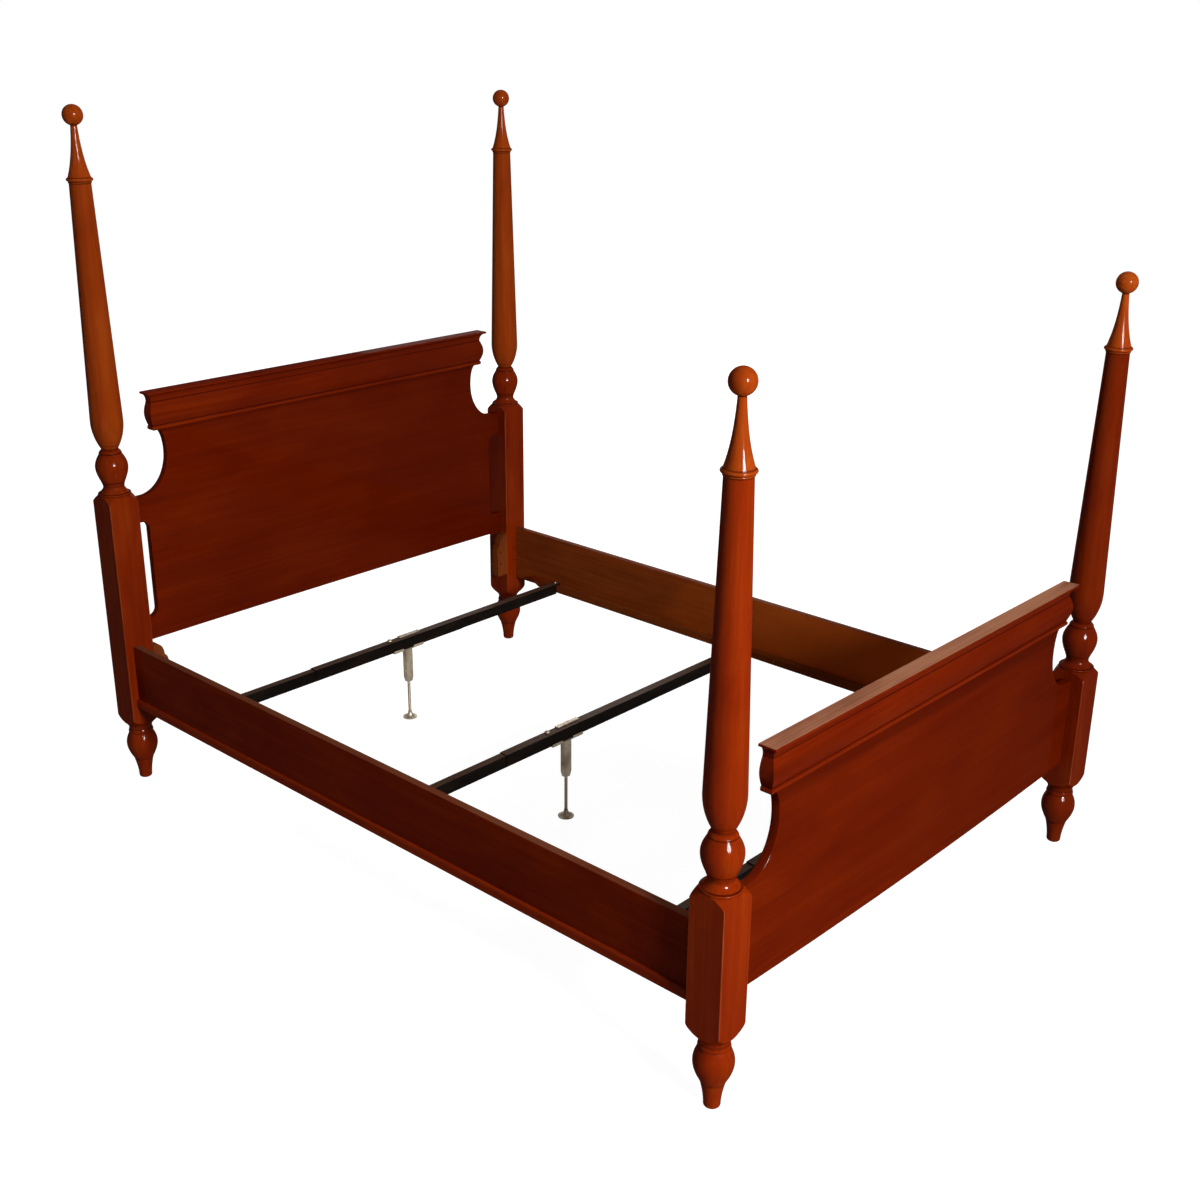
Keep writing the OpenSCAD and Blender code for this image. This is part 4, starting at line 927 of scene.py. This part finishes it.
class BED_OT_crowns(bpy.types.Operator):
    """Run the cap, the bulged frieze and the bead round the top of each board"""
    bl_idname = "bed.crowns"
    bl_label = "Crown mouldings"

    def execute(self, context):
        p, b = context.scene.bed_posts, context.scene.bed_boards
        crown_x = p.inner()[0] - CROWN_INSET
        half_t = b.thickness / 2 / MM
        for board, sy, block_top in boards_of(p):
            y, top = sy * p.span_y / 2 / MM, (block_top + b.crown_rise) / MM
            for part, outline in (("cap", cap_outline), ("frieze", frieze_outline), ("bead", bead_outline)):
                shape = returned(outline(), crown_x, y - half_t, y + half_t, part != "cap")
                moulding = make_object(f"run_{board}_{part}", placed(shape, (0, 0, top)))
                hand_over(moulding, f"cherry_{board}_crown", f"{board}_{part}", angle=30.0)
        return {"FINISHED"}


RAIL_IN, RAIL_OUT = 769.0, 791.0
LEDGER_WIDTH, LEDGER_LOW, LEDGER_TOP, LEDGER_HALF, LEDGER_BEVEL = 20.0, 253.0, 278.0, 965.0, 48.0
MOULD_HEIGHT, MOULD_OUT = 25.0, 8.0


class BED_OT_side_rails(bpy.types.Operator):
    """Make the side rails with their lower mouldings and ledgers"""
    bl_idname = "bed.side_rails"
    bl_label = "Side rails"

    def execute(self, context):
        p, b = context.scene.bed_posts, context.scene.bed_boards
        end = p.inner()[1]
        top = b.rail_top / MM
        low = top - b.rail_height / MM
        strip = [(0.0, 0.0)] + arc(MOULD_OUT - 1.2, 1.2, 1.2, 1.2, -90, 0, 4)
        strip += arc(2.0, MOULD_HEIGHT * 0.6, MOULD_OUT - 2.0, MOULD_HEIGHT * 0.4, 0, 90, 14)
        strip += [(0.0, MOULD_HEIGHT)]
        ledger = [(-LEDGER_HALF, LEDGER_TOP), (-LEDGER_HALF + LEDGER_BEVEL, LEDGER_LOW),
                  (LEDGER_HALF - LEDGER_BEVEL, LEDGER_LOW), (LEDGER_HALF, LEDGER_TOP)]
        for side, left in SIDES:
            board = placed(box_shape((RAIL_IN, -end, low), (RAIL_OUT, end, top)), flip_x=left)
            rail = ease(make_object(f"planed_side_rail_{side}", board), 0.0016, 3, 60.0)
            hand_over(rail, "cherry_along", f"side_rail_{side}")
            rail.data.materials.append(finish_of("rail_inside"))
            inwards = 1.0 if left else -1.0
            for face in rail.data.polygons:
                face.material_index = 1 if face.normal.x * inwards > 0.9 else 0
            moulding = prism([(RAIL_OUT + x, low + z) for x, z in strip], 1, -end, end)
            hand_over(make_object(f"run_rail_moulding_{side}", placed(moulding, flip_x=left)),
                      "cherry_moulding", f"rail_moulding_{side}", angle=30.0)
            bar = placed(prism(ledger, 0, RAIL_IN - LEDGER_WIDTH, RAIL_IN), flip_x=left)
            hand_over(ease(make_object(f"sawn_rail_ledger_{side}", bar), 0.0009, 2, 20.0), "ledger_wood",
                      f"rail_ledger_{side}")
        return {"FINISHED"}


BLOCK_LOW, BLOCK_TOP, BLOCK_WIDTH, BLOCK_DEPTH = 275.0, 427.0, 46.0, 30.0


class BED_OT_frame_blocks(bpy.types.Operator):
    """Saw the scalloped blocks with bolt holes on the head posts"""
    bl_idname = "bed.frame_blocks"
    bl_label = "Frame blocks"

    def execute(self, context):
        p = context.scene.bed_posts
        x, y = p.inner()
        low, top, width = BLOCK_LOW, BLOCK_TOP, BLOCK_WIDTH
        outline = [(0.0, low), (-width + 5.0, low)] + arc(-width + 5.0, low + 8.0, 5.0, 8.0, -90, -180, 8)
        outline += arc(-width + 11.0, top - 66.0, 11.0, 26.0, 180, 90, 16)
        outline += arc(-6.0, top - 34.0, 28.0, 34.0, 175, 90, 18) + [(0.0, top)]
        for side, left in SIDES:
            shape = prism([(x + px, pz) for px, pz in apart(outline)], 1, y, y + BLOCK_DEPTH)
            block = ease(make_object(f"sawn_frame_block_{side}", placed(shape, flip_x=left)), 0.0008, 2, 50.0)
            cut(block, bolt_bores(-BLOCK_BOLT_X if left else BLOCK_BOLT_X, y + BLOCK_DEPTH / 2, 40))
            hand_over(block, "block_wood", f"frame_block_{side}")
        return {"FINISHED"}


STEM_TIP_LENGTH, STEM_TIP_RADIUS = 0.0141, 0.0043


class BED_OT_stems(bpy.types.Operator):
    """Wind a thread round each centre leg's stem"""
    bl_idname = "bed.stems"
    bl_label = "Threaded stems"

    @staticmethod
    def tree(material):
        floats = ("Radius", "Length", "Pitch", "Depth", "Tip radius", "Tip length")
        g, size = piece_tree("threaded_stem", *((name, "Float") for name in floats), ("Place", "Vector"))
        pitch, core_radius, tip = size["Pitch"], size["Radius"] - size["Depth"], size["Tip length"]

        def raised(geometry, height):
            up = g.add("ShaderNodeCombineXYZ", {2: height})
            return g.add("GeometryNodeTransform", {"Geometry": geometry, "Translation": up})

        def rod(radius, depth):
            return g.add("GeometryNodeMeshCylinder", {"Vertices": 32, "Radius": radius, "Depth": depth})

        wound = size["Length"] - pitch * 2.0
        coil = g.add("GeometryNodeCurveSpiral",
                     {"Resolution": 18, "Rotations": wound / pitch, "Start Radius": core_radius,
                      "End Radius": core_radius, "Height": wound})
        ridge = g.add("GeometryNodeCurvePrimitiveCircle", {"Resolution": 4, "Radius": size["Depth"]})
        thread = g.add("GeometryNodeCurveToMesh", {"Curve": coil, "Profile Curve": ridge, "Fill Caps": True})
        whole = g.add("GeometryNodeJoinGeometry")
        for part in (raised(rod(size["Tip radius"], tip + pitch), (tip + pitch) / 2.0),
                     raised(rod(core_radius, size["Length"]), tip + size["Length"] / 2.0),
                     raised(thread, tip + pitch)):
            g.tree.links.new(part.outputs[0], whole.inputs[0])
        moved = g.add("GeometryNodeTransform", {"Geometry": whole, "Translation": size["Place"]})
        return end_tree(g, moved, material)

    def execute(self, context):
        s = context.scene.bed_steel
        tree = self.tree(finish_of("bare_steel"))
        for leg in LEGS:
            low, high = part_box(f"leg_stem_{leg}")
            sizes = {"Radius": (high[0] - low[0]) / 2, "Length": high[2] - low[2] - STEM_TIP_LENGTH,
                     "Pitch": s.thread_pitch, "Depth": s.thread_depth, "Tip radius": STEM_TIP_RADIUS,
                     "Tip length": STEM_TIP_LENGTH,
                     "Place": ((low[0] + high[0]) / 2, (low[1] + high[1]) / 2, low[2])}
            stem = grown(make_object(f"threaded_leg_stem_{leg}", ([], [])), tree, sizes)
            hand_over(stem, "bare_steel", f"leg_stem_{leg}", angle=50.0, body=f"stem_{leg}")
        return {"FINISHED"}


GLIDE_RADIUS, GLIDE_HEIGHT, GLIDE_BOSS, GLIDE_BORE = 23.5, 22.0, 6.5, 4.4


class BED_OT_glides(bpy.types.Operator):
    """Turn the round glides under the centre legs"""
    bl_idname = "bed.glides"
    bl_label = "Glides"

    def execute(self, context):
        radius, height, boss, bore = GLIDE_RADIUS, GLIDE_HEIGHT, GLIDE_BOSS, GLIDE_BORE
        outline = [(0.0, 0.0), (radius - 1.2, 0.0)] + arc(radius - 1.2, 1.2, 1.2, 1.2, -80, 0, 4)
        outline += [(radius, 2.4)] + arc(radius - 1.0, 2.6, 1.0, 1.0, 10, 80, 4)
        outline += arc(radius - 1.0, height - 2.0, boss + 1.0 - radius, 5.6 - height, 90, 0, 14)
        outline += [(boss, height - 0.6), (boss - 0.6, height), (bore, height), (bore, 8.0), (0.0, 8.0)]
        for leg in LEGS:
            low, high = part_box(f"leg_glide_{leg}")
            place = ((low[0] + high[0]) / 2 / MM, (low[1] + high[1]) / 2 / MM, 0)
            glide = make_object(f"turned_leg_glide_{leg}", placed(lathe(outline, 64), place))
            hand_over(glide, "bare_steel", f"leg_glide_{leg}", angle=35.0, body=f"glide_{leg}")
        return {"FINISHED"}


class BED_OT_pressed_steel(bpy.types.Operator):
    """Soften the edges of the cross rails and of the legs' pressed parts"""
    bl_idname = "bed.pressed_steel"
    bl_label = "Cross rails and pressed steel"

    @staticmethod
    def soft_copy(node, name, width):
        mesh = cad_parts[node].data.copy()
        with edited(mesh) as bm:
            bmesh.ops.dissolve_limit(bm, angle_limit=math.radians(0.5), verts=bm.verts, edges=bm.edges)
        mesh.materials.clear()
        return ease(link(name, mesh), width, 2, 30.0)

    def execute(self, context):
        width = context.scene.bed_steel.soft_edge
        for leg in LEGS:
            for node, way, finish in ((f"cross_rail_{leg}_inner", "rolled", "black_paint"),
                                      (f"cross_rail_{leg}_outer", "rolled", "black_paint"),
                                      (f"leg_bracket_{leg}", "pressed", "bare_steel"),
                                      (f"leg_channel_{leg}", "pressed", "bare_steel")):
                hand_over(self.soft_copy(node, f"{way}_{node}", width), finish, node, angle=30.0)
        return {"FINISHED"}


SCREW_HEAD, SCREW_SHANK, SCREW_DOME = 4.3, 2.2, 3.0
LEDGER_SCREWS, LEDGER_SCREW_INSET, LEDGER_SCREW_HEIGHT = 8, 40.0, 265.5
CROSS_SCREW_X, CROSS_RAIL_PLACES = 759.0, (838.0, 0.0, -838.0)


class BED_OT_screws(bpy.types.Operator):
    """Set a slotted screw in each ledger and cross rail hole"""
    bl_idname = "bed.screws"
    bl_label = "Screws"

    @staticmethod
    def tree(material):
        g, size = piece_tree("screws_on_points", ("Screw", "Object"), ("Seed", "Int"))
        screw = g.add("GeometryNodeObjectInfo", {"Object": size["Screw"]})
        spin = g.add("FunctionNodeRandomValue", {2: 0.0, 3: math.pi, "Seed": size["Seed"]}, data_type="FLOAT")
        facing = g.add("GeometryNodeInputNamedAttribute", {"Name": "facing"}, data_type="FLOAT_VECTOR")
        aligned = g.add("FunctionNodeAlignRotationToVector", {"Vector": facing}, axis="Z")
        about = g.add("FunctionNodeAxisAngleToRotation", {"Axis": (0.0, 0.0, 1.0), "Angle": spin.outputs[1]})
        turned = g.add("FunctionNodeRotateRotation", {"Rotation": aligned, "Rotate By": about},
                       rotation_space="LOCAL")
        set_screws = g.add("GeometryNodeInstanceOnPoints",
                           {"Points": size["Geometry"], "Instance": screw.outputs["Geometry"],
                            "Rotation": turned})
        return end_tree(g, set_screws, material)

    @staticmethod
    def screw(countersunk):
        """A slotted screw whose head's top is at height 0 when countersunk, and above it when not."""
        if countersunk:
            head = [(0, 0.0), (3.9, 0.0), (SCREW_HEAD, -0.3), (SCREW_SHANK, -3.0)]
        else:
            head = [(0, SCREW_DOME)] + arc(0.0, 0.6, SCREW_HEAD, 2.4, 88, 4, 8)
            head += [(SCREW_HEAD, 0.0), (SCREW_SHANK, 0.0)]
        body = make_object("one_screw", lathe(head + [(SCREW_SHANK, -20.0), (0, -21.0)], 28))
        top = 0.0 if countersunk else SCREW_DOME
        slot = make_object("slot", box_shape((-6.0, -0.55, top - 1.1), (6.0, 0.55, top + 2.0)))
        return smooth(cut(body, [slot]), 35.0)

    def execute(self, context):
        tree = self.tree(finish_of("bare_steel"))
        first = LEDGER_HALF - LEDGER_BEVEL - LEDGER_SCREW_INSET
        ledger_spots = [((sx * (RAIL_IN - LEDGER_WIDTH), -first + 2 * first * i / (LEDGER_SCREWS - 1),
                          LEDGER_SCREW_HEIGHT), (-sx, 0, 0)) for sx in (-1, 1) for i in range(LEDGER_SCREWS)]
        rail_spots = [((sx * CROSS_SCREW_X, y + 3.0, 281.0 if sx < 0 else 284.0), (0, 0, 1))
                      for sx in (-1, 1) for y in CROSS_RAIL_PLACES]
        for seed, name, spots in ((3, "ledger_screws", ledger_spots), (4, "cross_rail_screws", rail_spots)):
            mesh = bpy.data.meshes.new(name)
            mesh.from_pydata([scaled(place, MM) for place, way in spots], [], [])
            facing = mesh.attributes.new("facing", "FLOAT_VECTOR", "POINT")
            for i, (place, way) in enumerate(spots):
                facing.data[i].vector = way
            screw = self.screw(name == "ledger_screws")
            piece = grown(link(f"slotted_{name}", mesh), tree, {"Screw": screw, "Seed": seed})
            bpy.data.objects.remove(screw, do_unlink=True)
            hand_over(piece, "bare_steel", name, angle=None)
        return {"FINISHED"}


class BED_OT_carried_nodes(bpy.types.Operator):
    """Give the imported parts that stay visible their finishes"""
    bl_idname = "bed.carried_nodes"
    bl_label = "Small hardware"

    def execute(self, context):
        steel = ["post_studs", "hook_rivets", "hook_pins", "leg_blocks", "leg_rivets", "clamp_bolts"]
        steel += [f"hook_plate_{end}_{side}" for end in ("head", "foot") for side in ("left", "right")]
        for finish, nodes in (("bare_steel", steel), ("block_wood", ["frame_block_dowels"])):
            for node in nodes:
                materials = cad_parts[node].data.materials
                materials.clear()
                materials.append(finish_of(finish))
        return {"FINISHED"}


class BED_OT_stage(bpy.types.Operator):
    """Set the floor, the lamps, the white surroundings and the camera"""
    bl_idname = "bed.stage"
    bl_label = "Stage and camera"

    @staticmethod
    def seen(g, *rays):
        """Whether one of these kinds of ray, by their outputs on Light Path, looks at the surface."""
        path = g.add("ShaderNodeLightPath")
        return reduce(lambda a, b: a.math("MAXIMUM", b), (g.value(path, ray) for ray in rays))

    def floor(self):
        half = FLOOR_HALF
        corners = [(half * x, half * y, -FLOOR_DROP) for x, y in ((-1, -1), (1, -1), (1, 1), (-1, 1))]
        floor = make_object("floor", (corners, [(0, 1, 2, 3)]))
        m = Finish("pale_floor")
        x, y, _ = m.split(m.place)
        away = (x * x + y * y).math("SQRT")
        matt = m.add("ShaderNodeBsdfDiffuse", {"Color": (0.30, 0.30, 0.30, 1.0)})
        light = m.add("ShaderNodeEmission", {"Color": (1.0, 1.0, 1.0, 1.0),
                                             "Strength": m.step(away, 3.0, 8.0, 0.93, 1.0)})
        lit = m.add("ShaderNodeAddShader", {0: matt, 1: light})
        plain = m.add("ShaderNodeBsdfDiffuse", {"Color": (0.30, 0.29, 0.28, 1.0)})
        both = m.add("ShaderNodeMixShader", {0: self.seen(m, 0, 3), 1: plain, 2: lit})
        m.tree.links.new(both.outputs[0], m.tree.nodes["Material Output"].inputs[0])
        floor.data.materials.append(m.material)

    def surroundings(self, scene):
        world = bpy.data.worlds.new("white_surroundings")
        world.use_nodes = True
        scene.world = world
        g = Graph(world.node_tree)
        back = world.node_tree.nodes["Background"]
        g.feed(back.inputs[0], (1.0, 1.0, 1.0, 1.0))
        g.feed(back.inputs[1], AMBIENT + self.seen(g, 0, 3, 6) * (1.0 - AMBIENT))

    @staticmethod
    def lamp(name, place, height, size, power, missed_by):
        data = bpy.data.lights.new(name, "AREA")
        data.shape = "DISK"
        data.size = size
        data.energy = power
        obj = link(name, data)
        obj.location = place
        obj.rotation_euler = (Vector((0.0, 0.0, height)) - Vector(place)).to_track_quat("-Z", "Y").to_euler()
        for rays in missed_by:
            setattr(obj, rays, False)

    @staticmethod
    def camera(scene):
        data = bpy.data.cameras.new("photo_view")
        data.sensor_width = SENSOR
        data.lens = SENSOR * CAMERA_FOCAL_PX / PHOTO_PX
        data.shift_x = (PHOTO_PX / 2 - CAMERA_CENTRE[0]) / PHOTO_PX
        data.shift_y = (CAMERA_CENTRE[1] - PHOTO_PX / 2) / PHOTO_PX
        data.clip_end = 300.0
        obj = link("photo_view", data)
        obj.location = CAMERA_PLACE
        az, el, roll = (math.radians(a) for a in CAMERA_ANGLES)
        level, rolled = Matrix.Rotation(math.pi / 2 - el, 3, "X"), Matrix.Rotation(roll, 3, "Z")
        obj.rotation_euler = (Matrix.Rotation(az, 3, "Z") @ level @ rolled).to_euler()
        scene.camera = obj

    def execute(self, context):
        scene = context.scene
        scene.view_settings.view_transform = "Standard"
        self.floor()
        self.surroundings(scene)
        for lamp in LAMPS:
            self.lamp(*lamp)
        self.camera(scene)
        return {"FINISHED"}


OPERATORS = (
    BED_OT_lower_posts, BED_OT_shafts, BED_OT_finials, BED_OT_boards, BED_OT_crowns, BED_OT_side_rails,
    BED_OT_frame_blocks, BED_OT_pressed_steel, BED_OT_stems, BED_OT_glides, BED_OT_screws,
    BED_OT_carried_nodes, BED_OT_stage,
)
GROUPS = {"bed_posts": BedPostSizes, "bed_boards": BedBoardSizes, "bed_steel": BedSteelSizes,
          "bed_colours": BedColours}


class BED_PT_pieces(bpy.types.Panel):
    """Lists the bed's sizes, colours and pieces"""
    bl_idname = "BED_PT_pieces"
    bl_label = "Four-poster bed"
    bl_space_type = "VIEW_3D"
    bl_region_type = "UI"
    bl_category = "Bed"

    def draw(self, context):
        for name in GROUPS:
            group = getattr(context.scene, name)
            column = self.layout.column(align=True)
            for key in group.bl_rna.properties.keys():
                if key not in ("rna_type", "name"):
                    column.prop(group, key)
        for operator in OPERATORS:
            self.layout.operator(operator.bl_idname)


def register():
    for cls in (*GROUPS.values(), *OPERATORS, BED_PT_pieces):
        bpy.utils.register_class(cls)
    for name, cls in GROUPS.items():
        setattr(bpy.types.Scene, name, PointerProperty(type=cls))


def unregister():
    for name in GROUPS:
        delattr(bpy.types.Scene, name)
    for cls in reversed((*GROUPS.values(), *OPERATORS, BED_PT_pieces)):
        bpy.utils.unregister_class(cls)


def main():
    register()
    for operator in OPERATORS:
        group, name = operator.bl_idname.split(".")
        getattr(getattr(bpy.ops, group), name)()


if __name__ == "__main__":
    main()
